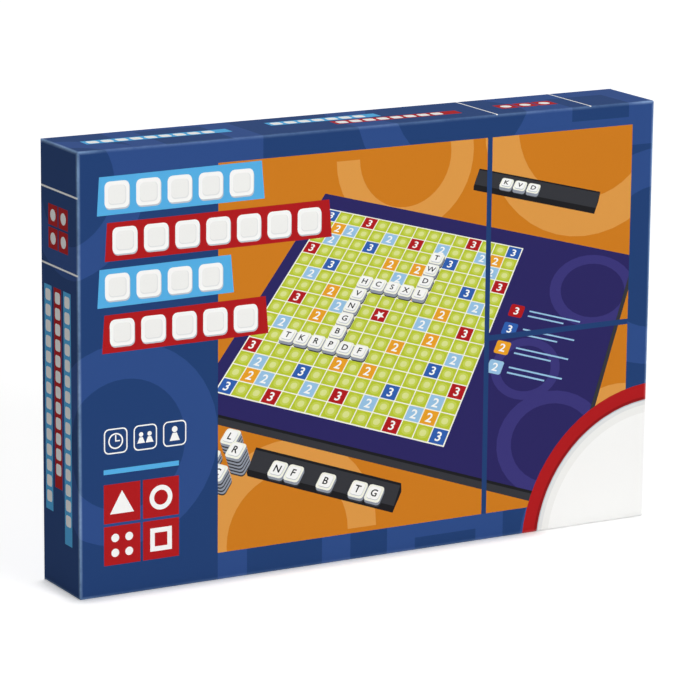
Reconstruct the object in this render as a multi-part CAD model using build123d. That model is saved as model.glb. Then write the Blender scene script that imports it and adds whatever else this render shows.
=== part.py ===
from build123d import *
import os

# A word board game packed in a two-piece rigid box that stands on its long edge.
# The lid is as deep as the tray that it covers, so only the lid shows from the front and the sides.
# Inside, from the back: a formed insert with four tile racks and stacks of letter tiles,
# a folded rules leaflet, and a game board folded in half with its print inside.
# X runs along the box's width, Y from the lid's panel (-Y) to the tray's panel (+Y), and Z up.
# The origin is the middle of the foot that the box stands on. All lengths are in millimetres.

# Box making, the same for lid and tray
greyboard = 2.0  # thickness of the panels and walls
wrap_paper = 0.3  # printed paper glued over the board
edge_radius = 1.2  # outside of a wrapped edge
turn_in = 15.0  # paper folded over the rim, on the inside
crease = 0.05  # left between the paper's panel and flaps, along folds and corners
stay_tape = 0.15  # paper tape over a corner joint, under the wrap
stay_leg = 12.0  # reach of the tape along each wall
stay_end_gap = 2.0  # board left bare past each end of the tape
lid_slide_gap = 0.6  # between lid and tray on every side
lid_seat_gap = 0.4  # between the tray's rim and the lid's panel
rim_set_back = 0.5  # from the lid's rim to the back of the tray

# Game board, folded across the middle of its long side
board_spine = 370.0  # length of the fold
board_half = 250.0  # from the fold to a free edge
board_core = 1.9
board_face = 0.15  # printed sheet
board_liner = 0.2  # dark paper on the back, turned over the edges
fold_gap = 0.4  # air between the printed faces
fold_set_back = 0.3  # from a half's spine edge to the fold's axis
hinge_leaf = 0.15  # linen strip under the printed sheet
hinge_leaf_reach = 14.0  # glued onto each half
hinge_tip_gap = 0.1  # from a strip's end to the fold's axis
board_side_gap = 9.2  # board to tray wall, left and right
board_seat_gap = 0.3  # board to the wall that it stands on
board_top_gap = 8.1  # fold to the upper wall, room to swing the fold

# Rules leaflet, one sheet folded to and fro
leaflet_width = 148.0
leaflet_height = 210.0
leaflet_paper = 0.25
leaflet_air = 0.2  # between two layers
leaflet_layers = 4

# Tile rack
rack_count = 4
rack_length = 180.0
rack_depth = 26.0
rack_height = 17.0
rack_lip = 3.0  # thickness of the front lip
rack_lip_height = 8.0
rack_slot = 7.0  # width of the groove that a tile stands in
rack_ledge = 3.0  # height of the groove's floor
rack_top_land = 3.0  # flat along the top of the back
rack_wall = 2.0
rack_rib = 1.6
rack_rib_count = 3
rack_edge = 0.6

# Letter tile: a rounded square with a raised pad, hollow below so that tiles stack
tile_side = 18.5
tile_height = 4.3
tile_corner = 3.2
tile_edge = 0.6
pad_side = 14.0
pad_height = 1.2
pad_corner = 3.0
pad_edge = 0.5
pad_nest_gap = 0.25  # between a pad and the hollow above it
tile_gap = 0.3  # between neighbours
stack_gap = 0.05  # between the layers of a stack
tile_columns = 6
tile_rows = 2
tile_layers = 5
tile_well_names = ("lower", "upper")

# Formed insert
insert_depth = 33.0
insert_sheet = 1.0
insert_gap = 0.5  # insert to tray wall
insert_corner = 4.0
middle_land = 30.0  # deck between the racks and the tiles
rack_land = 14.0  # deck between two rack wells
tile_land = 30.0  # deck between the two tile wells
least_land = 6.0  # narrowest deck left beside a well
well_gap = 0.3  # piece to well wall
well_sink = 1.0  # a stored piece's top below the deck
trough_width = 26.0  # finger trough across the rack wells
trough_end = 12.0  # trough past the outer wells
tile_trough_width = 30.0
tile_trough_depth = 14.0

# Stacking, from the tray's panel to the lid's panel
layer_gap = 0.2  # between stored layers
lid_headroom = 5.3  # board to the lid's panel
cut_overrun = 1.0

# What follows from those
half_thickness = board_core + board_face + board_liner
board_thickness = 2 * half_thickness + fold_gap
leaflet_thickness = leaflet_layers * leaflet_paper + (leaflet_layers - 1) * leaflet_air
panel_build = wrap_paper + greyboard
wall_build = panel_build + wrap_paper

tile_pitch = tile_side + tile_gap
stack_pitch = tile_height + stack_gap
stack_height = (tile_layers - 1) * stack_pitch + tile_height + pad_height
tile_well_width = tile_columns * tile_pitch + tile_gap
tile_well_height = tile_rows * tile_pitch + tile_gap
tile_well_pitch = tile_well_height + tile_land
tile_wells_span = (len(tile_well_names) - 1) * tile_well_pitch + tile_well_height
tile_well_depth = stack_height + layer_gap + well_sink

rack_well_length = rack_length + 2 * well_gap
rack_well_height = rack_depth + 2 * well_gap
rack_well_pitch = rack_well_height + rack_land
rack_wells_span = (rack_count - 1) * rack_well_pitch + rack_well_height
rack_well_depth = rack_height + layer_gap + well_sink

trough_reach = 2 * trough_end + 2 * least_land
insert_least_width = rack_well_length + middle_land + tile_well_width + 2 * least_land
insert_least_height = max(rack_wells_span, tile_wells_span) + trough_reach
tray_clear_width = max(
    board_spine + 2 * board_side_gap,
    insert_least_width + 2 * insert_gap,
    leaflet_width + 2 * board_side_gap,
)
tray_clear_height = max(
    board_half + board_seat_gap + board_top_gap,
    insert_least_height + 2 * insert_gap,
    leaflet_height + board_seat_gap + board_top_gap,
)
insert_width = tray_clear_width - 2 * insert_gap
insert_height = tray_clear_height - 2 * insert_gap
insert_full_depth = max(
    insert_depth,
    tile_well_depth + 2 * insert_sheet,
    rack_well_depth + 2 * insert_sheet,
)
side_land = (insert_width - rack_well_length - middle_land - tile_well_width) / 2

tray_width = tray_clear_width + 2 * wall_build
tray_height = tray_clear_height + 2 * wall_build
box_width = tray_width + 2 * lid_slide_gap + 2 * wall_build
box_height = tray_height + 2 * lid_slide_gap + 2 * wall_build
stored_depth = insert_full_depth + leaflet_thickness + board_thickness + 3 * layer_gap
box_depth = 2 * panel_build + stored_depth + lid_headroom

# Levels along Y, and the wall that the stored pieces stand on
middle_z = box_height / 2
lid_front_y = -box_depth / 2
lid_inner_y = lid_front_y + panel_build
tray_back_y = box_depth / 2
tray_inner_y = tray_back_y - panel_build
lid_rim_y = tray_back_y - rim_set_back
tray_rim_y = lid_inner_y + lid_seat_gap
insert_back_y = tray_inner_y - layer_gap
deck_y = insert_back_y - insert_full_depth
leaflet_back_y = deck_y - layer_gap
board_back_y = leaflet_back_y - leaflet_thickness - layer_gap
fold_y = board_back_y - half_thickness - fold_gap / 2
tray_floor_z = middle_z - tray_clear_height / 2
board_low_z = tray_floor_z + board_seat_gap
board_high_z = board_low_z + board_half
fold_z = board_high_z + fold_set_back


def block(low, high):
    """Box between two corners, given in any order along each axis."""
    size = [abs(b - a) for a, b in zip(low, high)]
    middle = [(a + b) / 2 for a, b in zip(low, high)]
    return Pos(*middle) * Box(*size)


def facing_front(x, y, z):
    """Place at a point, with the piece's own Z towards the lid's panel and its own Y up."""
    return Plane(origin=(x, y, z), x_dir=(1, 0, 0), z_dir=(0, -1, 0)).location


class Shell:
    """Lid or tray: a panel and four walls of greyboard, taped at the corners and wrapped in paper."""

    def __init__(self, name, width, height, panel_y, rim_y):
        self.name = name
        self.half_width = width / 2
        self.half_height = height / 2
        self.panel_y = panel_y
        self.rim_y = rim_y
        self.inward = 1 if rim_y > panel_y else -1

    def at(self, depth):
        """Y of a plane that lies so far behind the panel's outer face."""
        return self.panel_y + self.inward * depth

    def before_rim(self, depth):
        """Y of a plane that lies so far before the rim."""
        return self.rim_y - self.inward * depth

    def prism(self, inset, start_y, end_y):
        """Block inside the shell's outline, taken in by inset on all four sides."""
        x = self.half_width - inset
        z = self.half_height - inset
        return block((-x, start_y, middle_z - z), (x, end_y, middle_z + z))

    def envelope(self, inset, end_y):
        """Block under the wrap, with the panel's edges and the corner edges rounded."""
        solid = self.prism(inset, self.at(inset), end_y)
        ends = solid.faces().sort_by(Axis.Y)
        panel = ends[0] if self.inward > 0 else ends[-1]
        edges = solid.edges().filter_by(Axis.Y) + panel.edges()
        return fillet(edges, edge_radius - inset)

    def boards(self):
        """Panel and walls. The upper and lower walls run through, the side walls fit between them."""
        board_end = self.before_rim(wrap_paper)
        form = self.envelope(wrap_paper, board_end)
        start = self.at(panel_build)
        x = self.half_width - wrap_paper
        z = self.half_height - wrap_paper
        inner_x = x - greyboard
        inner_z = z - greyboard
        low, high = middle_z - z, middle_z + z
        inner_low, inner_high = middle_z - inner_z, middle_z + inner_z
        spaces = {
            "panel": block((-x, self.at(0), low), (x, start, high)),
            "top_wall": block((-x, start, inner_high), (x, board_end, high)),
            "bottom_wall": block((-x, start, low), (x, board_end, inner_low)),
            "left_wall": block((-x, start, inner_low), (-inner_x, board_end, inner_high)),
            "right_wall": block((inner_x, start, inner_low), (x, board_end, inner_high)),
        }
        return {place: form & space for place, space in spaces.items()}

    def corner_stays(self):
        """Tape round the four corner joints, between the board and the wrap."""
        start = self.at(panel_build + stay_end_gap)
        end = self.before_rim(wrap_paper + stay_end_gap)
        x = self.half_width - wrap_paper
        z = self.half_height - wrap_paper
        taped = self.envelope(wrap_paper - stay_tape, end)
        taped -= self.envelope(wrap_paper, end)
        stays = []
        for x_side in (-1, 1):
            for z_side in (-1, 1):
                near = (x_side * (x - stay_leg), start, middle_z + z_side * (z - stay_leg))
                far = (x_side * self.half_width, end, middle_z + z_side * self.half_height)
                stays.append(taped & block(near, far))
        return stays

    def wrap(self, boards, stays):
        """Paper over the outside, round the rim and turned in, as its panel and four flaps."""
        rim_past = self.rim_y + self.inward * cut_overrun
        turn_y = self.before_rim(turn_in)
        paper = self.envelope(0, self.rim_y)
        paper -= self.prism(panel_build, self.at(panel_build), turn_y)
        paper -= self.prism(wall_build, turn_y, rim_past)
        for board in boards.values():
            paper -= board
        for stay in stays:
            paper -= stay
        flaps = [paper & self.panel_space(0)]
        sides = paper - self.panel_space(crease)
        flaps += [sides & space for space in self.flap_spaces()]
        return flaps

    def panel_space(self, lower):
        """Space of the panel's sheet, mitred against the flaps at the folds, and set lower into the shell."""
        faces = []
        for inset in (-cut_overrun, edge_radius):
            place = (0, self.at(inset + lower), middle_z)
            plane = Plane(origin=place, x_dir=(1, 0, 0), z_dir=(0, self.inward, 0))
            faces.append(plane * Rectangle(2 * (self.half_width - inset), 2 * (self.half_height - inset)))
        return loft(faces)

    def flap_spaces(self):
        """Spaces of the four flaps, mitred at the corners."""
        x = self.half_width + cut_overrun
        z = self.half_height + cut_overrun
        ridge = x - z
        side_ridge = ridge + crease
        side_z = z - crease
        outlines = (
            [(-x, -side_z), (-side_ridge, 0), (-x, side_z)],
            [(x, -side_z), (x, side_z), (side_ridge, 0)],
            [(-x, z), (-ridge, 0), (ridge, 0), (x, z)],
            [(-x, -z), (x, -z), (ridge, 0), (-ridge, 0)],
        )
        plane = Plane(origin=(0, self.at(-cut_overrun), middle_z), x_dir=(1, 0, 0), z_dir=(0, self.inward, 0))
        reach = abs(self.rim_y - self.panel_y) + 2 * cut_overrun
        return [extrude(plane * Polygon(*points, align=None), amount=reach) for points in outlines]

    def nodes(self):
        """Every piece of the shell by its node name."""
        boards = self.boards()
        stays = self.corner_stays()
        found = {f"{self.name}_{place}": board for place, board in boards.items()}
        found[f"{self.name}_corner_stays"] = stays
        found[f"{self.name}_wrap"] = self.wrap(boards, stays)
        return found


def insert_cavities():
    """Corners of every well and finger trough in the insert, open at the deck."""
    cavities = []
    for low_z in rack_low_levels():
        low = (rack_left_x() - well_gap, deck_y, low_z - well_gap)
        high = (low[0] + rack_well_length, deck_y + rack_well_depth, low[2] + rack_well_height)
        cavities.append((low, high))
    for low_z in tile_low_levels():
        low = (tile_left_x() - tile_gap, deck_y, low_z - tile_gap)
        high = (low[0] + tile_well_width, deck_y + tile_well_depth, low[2] + tile_well_height)
        cavities.append((low, high))
    rack_x = rack_left_x() + rack_length / 2
    rack_z = rack_wells_span / 2 + trough_end
    cavities.append(
        (
            (rack_x - trough_width / 2, deck_y, middle_z - rack_z),
            (rack_x + trough_width / 2, deck_y + rack_well_depth, middle_z + rack_z),
        )
    )
    tile_x = tile_left_x() + (tile_well_width - 2 * tile_gap) / 2
    tile_z = tile_wells_span / 2 + trough_end
    cavities.append(
        (
            (tile_x - tile_trough_width / 2, deck_y, middle_z - tile_z),
            (tile_x + tile_trough_width / 2, deck_y + tile_trough_depth, middle_z + tile_z),
        )
    )
    return cavities


def rack_left_x():
    """X of the racks' left ends."""
    return -insert_width / 2 + side_land + well_gap


def tile_left_x():
    """X of the first tile column's left side."""
    return insert_width / 2 - side_land - tile_well_width + tile_gap


def rack_low_levels():
    """Z of each rack's lower side, from the lowest up."""
    lowest = middle_z - rack_wells_span / 2 + well_gap
    return [lowest + index * rack_well_pitch for index in range(rack_count)]


def tile_low_levels():
    """Z of the lowest tile row in each tile well."""
    lowest = middle_z - tile_wells_span / 2 + tile_gap
    return [lowest + index * tile_well_pitch for index in range(len(tile_well_names))]


def make_insert():
    """Formed tray: a deck on a skirt, with wells let down into it."""
    outer = extrude(RectangleRounded(insert_width, insert_height, insert_corner), insert_full_depth)
    hollow = extrude(
        RectangleRounded(
            insert_width - 2 * insert_sheet,
            insert_height - 2 * insert_sheet,
            insert_corner - insert_sheet,
        ),
        insert_full_depth - insert_sheet,
    )
    place = facing_front(0, insert_back_y, middle_z)
    insert = place * (outer - hollow)
    cavities = insert_cavities()
    for low, high in cavities:
        grown_low = (low[0] - insert_sheet, low[1], low[2] - insert_sheet)
        grown_high = [value + insert_sheet for value in high]
        insert += block(grown_low, grown_high)
    for low, high in cavities:
        insert -= block((low[0], low[1] - cut_overrun, low[2]), high)
    return insert


def make_rack():
    """Black tile rack, lying on its foot with its lip towards -Y of its own frame."""
    slot_end = rack_lip + rack_slot
    outline = [
        (0, 0),
        (rack_depth, 0),
        (rack_depth, rack_height),
        (rack_depth - rack_top_land, rack_height),
        (slot_end, rack_ledge),
        (rack_lip, rack_ledge),
        (rack_lip, rack_lip_height),
        (0, rack_lip_height),
    ]
    rack = extrude(Plane.YZ * Polygon(*outline, align=None), amount=rack_length / 2, both=True)
    rack = fillet(rack.edges().filter_by(Axis.X), rack_edge)
    rise_share = (rack_height - rack_ledge) / (rack_depth - rack_top_land - slot_end)
    hollow_depth = rack_depth - rack_wall
    hollow_start = slot_end + rack_wall
    hollow_height = (hollow_depth - hollow_start) * rise_share
    hollow_outline = [(hollow_start, 0), (hollow_depth, 0), (hollow_depth, hollow_height)]
    bays = rack_rib_count + 1
    bay_length = (rack_length - 2 * rack_wall - rack_rib_count * rack_rib) / bays
    for bay in range(bays):
        start = -rack_length / 2 + rack_wall + bay * (bay_length + rack_rib)
        plane = Plane.YZ.offset(start)
        rack -= extrude(plane * Polygon(*hollow_outline, align=None), amount=bay_length)
    return rack


def make_tile():
    """Letter tile with its raised pad towards +Z of its own frame."""
    body = extrude(RectangleRounded(tile_side, tile_side, tile_corner), tile_height)
    rims = body.faces().sort_by(Axis.Z)
    body = fillet(rims[0].edges() + rims[-1].edges(), tile_edge)
    pad = extrude(RectangleRounded(pad_side, pad_side, pad_corner), pad_height)
    pad = fillet(pad.faces().sort_by(Axis.Z)[-1].edges(), pad_edge)
    nest_side = pad_side + 2 * pad_nest_gap
    nest = extrude(RectangleRounded(nest_side, nest_side, pad_corner), pad_height + pad_nest_gap)
    return body + Pos(0, 0, tile_height) * pad - nest


def tile_column(tile, column, low_z):
    """All stacks of one column of a tile well."""
    x = tile_left_x() + tile_side / 2 + column * tile_pitch
    floor_y = deck_y + tile_well_depth - layer_gap
    placed = []
    for row in range(tile_rows):
        z = low_z + tile_side / 2 + row * tile_pitch
        for layer in range(tile_layers):
            placed.append(facing_front(x, floor_y - layer * stack_pitch, z) * tile)
    return placed


def make_leaflet():
    """One sheet folded to and fro, standing on the tray's lower wall in front of the insert."""
    x = leaflet_width / 2
    low = board_low_z
    high = low + leaflet_height
    pitch = leaflet_paper + leaflet_air
    sheet = None
    for layer in range(leaflet_layers):
        back = leaflet_back_y - layer * pitch
        leaf = block((-x, back, low), (x, back - leaflet_paper, high))
        sheet = leaf if sheet is None else sheet + leaf
        if layer > 0:
            side = 1 if layer % 2 else -1
            fold = block((side * (x - leaflet_paper), back + pitch, low), (side * x, back, high))
            sheet += fold
    return sheet


def board_half_nodes(name, side):
    """Core, printed sheet, liner and hinge strip of one half. Side is +1 behind the fold, -1 before it."""
    x = board_spine / 2
    face_y = fold_y + side * fold_gap / 2
    core_face_y = face_y + side * board_face
    liner_y = face_y + side * half_thickness
    core_x = x - board_liner
    core_low = board_low_z + board_liner
    core_high = board_high_z - board_liner
    core_back_y = core_face_y + side * board_core
    core_space = block((-core_x, core_face_y, core_low), (core_x, core_back_y, core_high))
    strip_low = board_high_z - hinge_leaf_reach
    strip_back_y = core_face_y + side * hinge_leaf
    strip_high = fold_z - hinge_tip_gap
    strip = block((-core_x, core_face_y, strip_low), (core_x, strip_back_y, strip_high))
    liner = block((-x, core_face_y, board_low_z), (x, liner_y, board_high_z)) - core_space - strip
    face = block((-x, face_y, board_low_z), (x, core_face_y, board_high_z))
    return {
        f"board_{name}_core": core_space - strip,
        f"board_{name}_face": face,
        f"board_{name}_liner": liner,
        f"board_{name}_hinge_strip": strip,
    }


def make_nodes():
    """Every piece of the game by its node name."""
    lid = Shell("lid", box_width, box_height, lid_front_y, lid_rim_y)
    tray = Shell("tray", tray_width, tray_height, tray_back_y, tray_rim_y)
    nodes = {**lid.nodes(), **tray.nodes()}
    nodes["insert"] = make_insert()
    nodes["rules_leaflet"] = make_leaflet()
    nodes.update(board_half_nodes("back_half", 1))
    nodes.update(board_half_nodes("front_half", -1))
    rack = make_rack()
    rack_x = rack_left_x() + rack_length / 2
    rack_floor_y = deck_y + rack_well_depth - layer_gap
    for index, low_z in enumerate(rack_low_levels(), start=1):
        nodes[f"rack_{index}"] = facing_front(rack_x, rack_floor_y, low_z) * rack
    tile = make_tile()
    for well_name, low_z in zip(tile_well_names, tile_low_levels()):
        for column in range(tile_columns):
            nodes[f"tiles_{well_name}_{column + 1}"] = tile_column(tile, column, low_z)
    return nodes


def solids_of(piece):
    """The solids of one piece, or of a list of pieces."""
    pieces = piece if isinstance(piece, list) else [piece]
    return [solid for each in pieces for solid in each.solids()]


os.makedirs("parts", exist_ok=True)
for node_name, piece in make_nodes().items():
    export_step(Compound(children=solids_of(piece)), f"parts/{node_name}.step")
print(f"box {box_width:.2f} x {box_height:.2f} x {box_depth:.2f}, fold at y {fold_y:.3f} z {fold_z:.3f}")
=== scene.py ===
import logging
import math
from dataclasses import dataclass, field
from enum import Enum
from itertools import product
from typing import Callable, Sequence

import bpy
from mathutils import Matrix, Vector
from mathutils.geometry import delaunay_2d_cdt


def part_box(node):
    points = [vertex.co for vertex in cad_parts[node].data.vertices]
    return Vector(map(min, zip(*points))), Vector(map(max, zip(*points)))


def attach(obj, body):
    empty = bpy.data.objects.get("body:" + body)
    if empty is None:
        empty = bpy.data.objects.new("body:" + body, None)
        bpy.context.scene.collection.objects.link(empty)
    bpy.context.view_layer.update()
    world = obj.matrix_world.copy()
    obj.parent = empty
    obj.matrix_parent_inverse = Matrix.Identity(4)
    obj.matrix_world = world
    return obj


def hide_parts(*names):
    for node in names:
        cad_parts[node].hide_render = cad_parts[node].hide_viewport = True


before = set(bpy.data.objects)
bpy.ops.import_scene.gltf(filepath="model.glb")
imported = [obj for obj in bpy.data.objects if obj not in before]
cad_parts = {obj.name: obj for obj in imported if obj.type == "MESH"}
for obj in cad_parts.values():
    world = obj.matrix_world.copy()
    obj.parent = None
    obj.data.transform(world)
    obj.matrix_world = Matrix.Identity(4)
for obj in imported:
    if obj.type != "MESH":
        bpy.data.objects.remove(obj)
log = logging.getLogger("word_game")

MM = 0.001
FRONT = Vector((0, -1, 0))
PRINT_LIFT = 0.03  # mm from a plain surface to the print on it
FULL_TURN = 6.2832
PURE_WHITE = (1.0, 1.0, 1.0, 1.0)
# Inputs of the edge group, which paints wear and a highlight along the box's edges
WEAR_AND_HIGHLIGHT_INPUTS = ("Half Width", "Low", "High", "Panel", "Inward", "Reach", "Amount", "Long Ease")

Point = tuple[float, float]
Pair = tuple[float, float]  # two sizes of one thing: side and corner radius, radius and width, or two levels
Colour = tuple[float, float, float]
Rect = tuple[float, float, float, float]  # left, bottom, right and top
Round = tuple[float, float, float, float]  # middle across, middle up, radius or side, and width
Place = Callable[[float, float], Point]


class Ink(Enum):
    """Printing inks, each by its sRGB value."""

    FIELD = "203f73"
    FIELD_TONE = "2d4c88"
    SKY = "56b0e6"
    RED = "b0181c"
    RED_SHADE = "8f1216"
    ORANGE = "cf7c1c"
    ORANGE_TONE = "df9a48"
    NAVY = "2a2560"
    NAVY_TONE = "3a3578"
    LIME = "bac832"
    LIME_MID = "c8d456"
    LIME_PALE = "dbe28f"
    LINE = "f5f5e8"
    AMBER = "eba224"
    PALE_BLUE = "98c3e4"
    BLUE = "2f5fae"
    WHITE = "fbfbf9"
    LINEN_WHITE = "f3f3f0"
    PEARL = "e6e7e6"
    SHADE = "c4c8ce"
    DEEP_SHADE = "9298a4"
    BLACK = "18181b"
    CHARCOAL = "34353a"
    GREY = "b9bcc0"

    @property
    def linear(self) -> Colour:
        """The ink as a linear colour."""
        return linear(self.value)


class Sign(Enum):
    """Plain signs on the cover's red squares, in the order of the squares."""

    TRIANGLE = 0
    RING = 1
    DOTS = 2
    FRAME = 3


def linear(code: str) -> Colour:
    """Turns an sRGB hex code of six digits into a linear colour."""
    parts = [int(code[i : i + 2], 16) / 255 for i in (0, 2, 4)]
    return tuple(p / 12.92 if p <= 0.04045 else ((p + 0.055) / 1.055) ** 2.4 for p in parts)


def polar(cx: float, cy: float, radius: float, angle: float) -> Point:
    """Point on a circle, at an angle in degrees."""
    turn = math.radians(angle)
    return (cx + radius * math.cos(turn), cy + radius * math.sin(turn))


def arc(cx: float, cy: float, radius: float, start: float, end: float, steps: int) -> list[Point]:
    """Points along an arc, angles in degrees."""
    return [polar(cx, cy, radius, start + (end - start) * i / steps) for i in range(steps + 1)]


def rounded_box(cx: float, cy: float, size: Pair, radius: float, steps: int) -> list[Point]:
    """Outline of a rectangle with round corners.

    Args:
        cx: Middle across.
        cy: Middle up.
        size: Width and height.
        radius: Radius of the corners.
        steps: Straight runs in each corner.

    Returns:
        The outline, counter-clockwise.
    """
    x, y = size[0] / 2 - radius, size[1] / 2 - radius
    corners = ((cx + x, cy - y, -90), (cx + x, cy + y, 0), (cx - x, cy + y, 90), (cx - x, cy - y, 180))
    return [p for px, py, start in corners for p in arc(px, py, radius, start, start + 90, steps)]


def rounded_square(cx: float, cy: float, side: float, radius: float, steps: int) -> list[Point]:
    """Outline of a square with round corners, counter-clockwise."""
    return rounded_box(cx, cy, (side, side), radius, steps)


def hull(points: Sequence[Point]) -> list[Point]:
    """Convex outline round some points.

    Args:
        points: The points in any order.

    Returns:
        The outline's points, counter-clockwise.
    """
    ordered = sorted(set(points))
    halves = []
    for run in (ordered, ordered[::-1]):
        chain: list[Point] = []
        for p in run:
            while len(chain) > 1:
                (ax, ay), (bx, by) = chain[-2], chain[-1]
                if (bx - ax) * (p[1] - ay) - (by - ay) * (p[0] - ax) > 0:
                    break
                chain.pop()
            chain.append(p)
        halves.append(chain[:-1])
    return halves[0] + halves[1]


def clip(outline: Sequence[Point], window: Rect) -> list[Point]:
    """Cuts an outline to an upright window.

    Args:
        outline: Points of the shape.
        window: The window.

    Returns:
        The points that are left, or none.
    """
    left, bottom, right, top = window
    points = list(outline)
    for axis, limit, sign in ((0, left, 1), (0, right, -1), (1, bottom, 1), (1, top, -1)):
        kept: list[Point] = []
        for i, p in enumerate(points):
            q = points[i - 1]
            p_in = sign * (p[axis] - limit) >= 0
            q_in = sign * (q[axis] - limit) >= 0
            if p_in != q_in:
                share = (limit - q[axis]) / (p[axis] - q[axis])
                kept.append((q[0] + share * (p[0] - q[0]), q[1] + share * (p[1] - q[1])))
            if p_in:
                kept.append(p)
        points = kept
    return points


def area(outline: Sequence[Point]) -> float:
    """Signed area of an outline, positive when it runs counter-clockwise."""
    return sum(q[0] * p[1] - p[0] * q[1] for q, p in zip((outline[-1], *outline[:-1]), outline)) / 2


def box_mm(node: str) -> tuple[Vector, Vector]:
    """Lower and upper corner of a solid, in millimetres."""
    low, high = map(Vector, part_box(node))
    return low / MM, high / MM


@dataclass
class GlyphCase:
    """Single letters and numerals as flat triangles, made once each."""

    curve_steps: int = 3
    weight: float = 0.018
    made: dict[str, list[list[Point]]] = field(default_factory=dict)

    def triangles(self, sign: str) -> list[list[Point]]:
        """Faces of one glyph, one unit high and centred.

        Args:
            sign: One letter or numeral.

        Returns:
            A list of outlines.
        """
        if sign not in self.made:
            curve = bpy.data.curves.new("glyph", "FONT")
            curve.body = sign
            curve.resolution_u = self.curve_steps
            curve.offset = self.weight
            holder = bpy.data.objects.new("glyph", curve)
            mesh = bpy.data.meshes.new_from_object(holder)
            xs = [v.co.x for v in mesh.vertices]
            ys = [v.co.y for v in mesh.vertices]
            scale = 1 / (max(ys) - min(ys))
            cx, cy = (max(xs) + min(xs)) / 2, (max(ys) + min(ys)) / 2
            spots = [((v.co.x - cx) * scale, (v.co.y - cy) * scale) for v in mesh.vertices]
            self.made[sign] = [[spots[i] for i in face.vertices] for face in mesh.polygons]
            bpy.data.objects.remove(holder)
            bpy.data.curves.remove(curve)
            bpy.data.meshes.remove(mesh)
        return self.made[sign]


GLYPHS = GlyphCase()


@dataclass
class InkSheet:
    """A flat print, in millimetres: shapes laid over each other, the last on top.

    A shape is cut to crop, moved by place and cut to window, where these are set.
    """

    bases: int = 1
    crop: Rect | None = None
    place: Place | None = None
    window: Rect | None = None
    least_area: float = 0.002
    weld: float = 1e-4
    points: list[Vector] = field(default_factory=list)
    faces: list[list[int]] = field(default_factory=list)
    inks: list[Ink] = field(default_factory=list)
    lines: list[tuple[int, int]] = field(default_factory=list)

    def lay(self, outline: Sequence[Point], ink: Ink) -> None:
        """Lays one shape on the sheet.

        Args:
            outline: The shape's points in order.
            ink: Its ink.
        """
        shape = list(outline)
        if self.crop is not None:
            shape = clip(shape, self.crop)
        if self.place is not None:
            shape = [self.place(x, y) for x, y in shape]
        if self.window is not None:
            shape = clip(shape, self.window)
        if len(shape) < 3 or abs(area(shape)) < self.least_area:
            return
        if area(shape) < 0:
            shape.reverse()
        first = len(self.points)
        self.points.extend(Vector(p) for p in shape)
        self.faces.append(list(range(first, first + len(shape))))
        self.inks.append(ink)

    def line(self, start: Point, end: Point) -> None:
        """Adds a line that the sheet's faces have to follow."""
        self.lines.append((len(self.points), len(self.points) + 1))
        self.points.extend((Vector(start), Vector(end)))

    def bar(self, left: float, bottom: float, right: float, top: float, ink: Ink) -> None:
        """Lays an upright rectangle."""
        self.lay([(left, bottom), (right, bottom), (right, top), (left, top)], ink)

    def disc(self, cx: float, cy: float, radius: float, ink: Ink, steps: int) -> None:
        """Lays a disc."""
        self.lay(arc(cx, cy, radius, 0, 360, steps)[:-1], ink)

    def square(self, cx: float, cy: float, side: float, radius: float, ink: Ink, steps: int = 4) -> None:
        """Lays a square with round corners."""
        self.lay(rounded_square(cx, cy, side, radius, steps), ink)

    def row(self, first: Point, step: Point, count: int, shape: Pair, ink: Ink, steps: int = 4) -> None:
        """Lays a row of squares of one side and corner radius, from the first one's middle on."""
        for i in range(count):
            self.square(first[0] + step[0] * i, first[1] + step[1] * i, *shape, ink, steps)

    def badge(self, cx: float, cy: float, outer: Pair, inner: Pair) -> None:
        """Lays a white outline, its outside and inside each given by side and corner radius."""
        self.square(cx, cy, *outer, Ink.WHITE)
        self.square(cx, cy, *inner, Ink.FIELD)

    def ring(self, cx: float, cy: float, radius: float, width: float, ink: Ink, steps: int = 22) -> None:
        """Lays a ring in two halves, so that what lies under it still shows inside.

        Args:
            cx: Middle across.
            cy: Middle up.
            radius: Outer radius.
            width: Width of the band.
            ink: Its ink.
            steps: Straight runs in each half.
        """
        for a, b in ((0, 180), (180, 360)):
            outer, inner = arc(cx, cy, radius, a, b, steps), arc(cx, cy, radius - width, b, a, steps)
            self.lay(outer + inner, ink)

    def frame(self, cx: float, cy: float, side: float, width: float, ink: Ink) -> None:
        """Lays an open square frame in four bars.

        Args:
            cx: Middle across.
            cy: Middle up.
            side: Outer side.
            width: Width of the bars.
            ink: Their ink.
        """
        rim, hole = side / 2, side / 2 - width
        level = ((-rim, -rim, rim, -hole), (-rim, hole, rim, rim))
        upright = ((-rim, -hole, -hole, hole), (hole, -hole, rim, hole))
        for left, low, right, high in level + upright:
            self.bar(cx + left, cy + low, cx + right, cy + high, ink)

    def glyph(self, sign: str, height: float, cx: float, cy: float, ink: Ink) -> None:
        """Lays one letter or numeral."""
        for face in GLYPHS.triangles(sign):
            self.lay([(cx + x * height, cy + y * height) for x, y in face], ink)

    def cut(self) -> tuple[list[Vector], list[list[int]], list[Ink]]:
        """Cuts the sheet along all its shapes.

        Returns:
            Points, triangles and the ink that shows on each triangle.
        """
        inside_only = 1
        spots, _, faces, _, _, owners = delaunay_2d_cdt(
            self.points, self.lines, self.faces, inside_only, self.weld
        )
        numbers: dict[int, int] = {}
        kept: list[list[int]] = []
        inks: list[Ink] = []
        for face, owner in zip(faces, owners):
            if owner and min(owner) < self.bases:
                kept.append([numbers.setdefault(i, len(numbers)) for i in face])
                inks.append(self.inks[max(owner)])
        return [spots[i] for i in numbers], kept, inks


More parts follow.
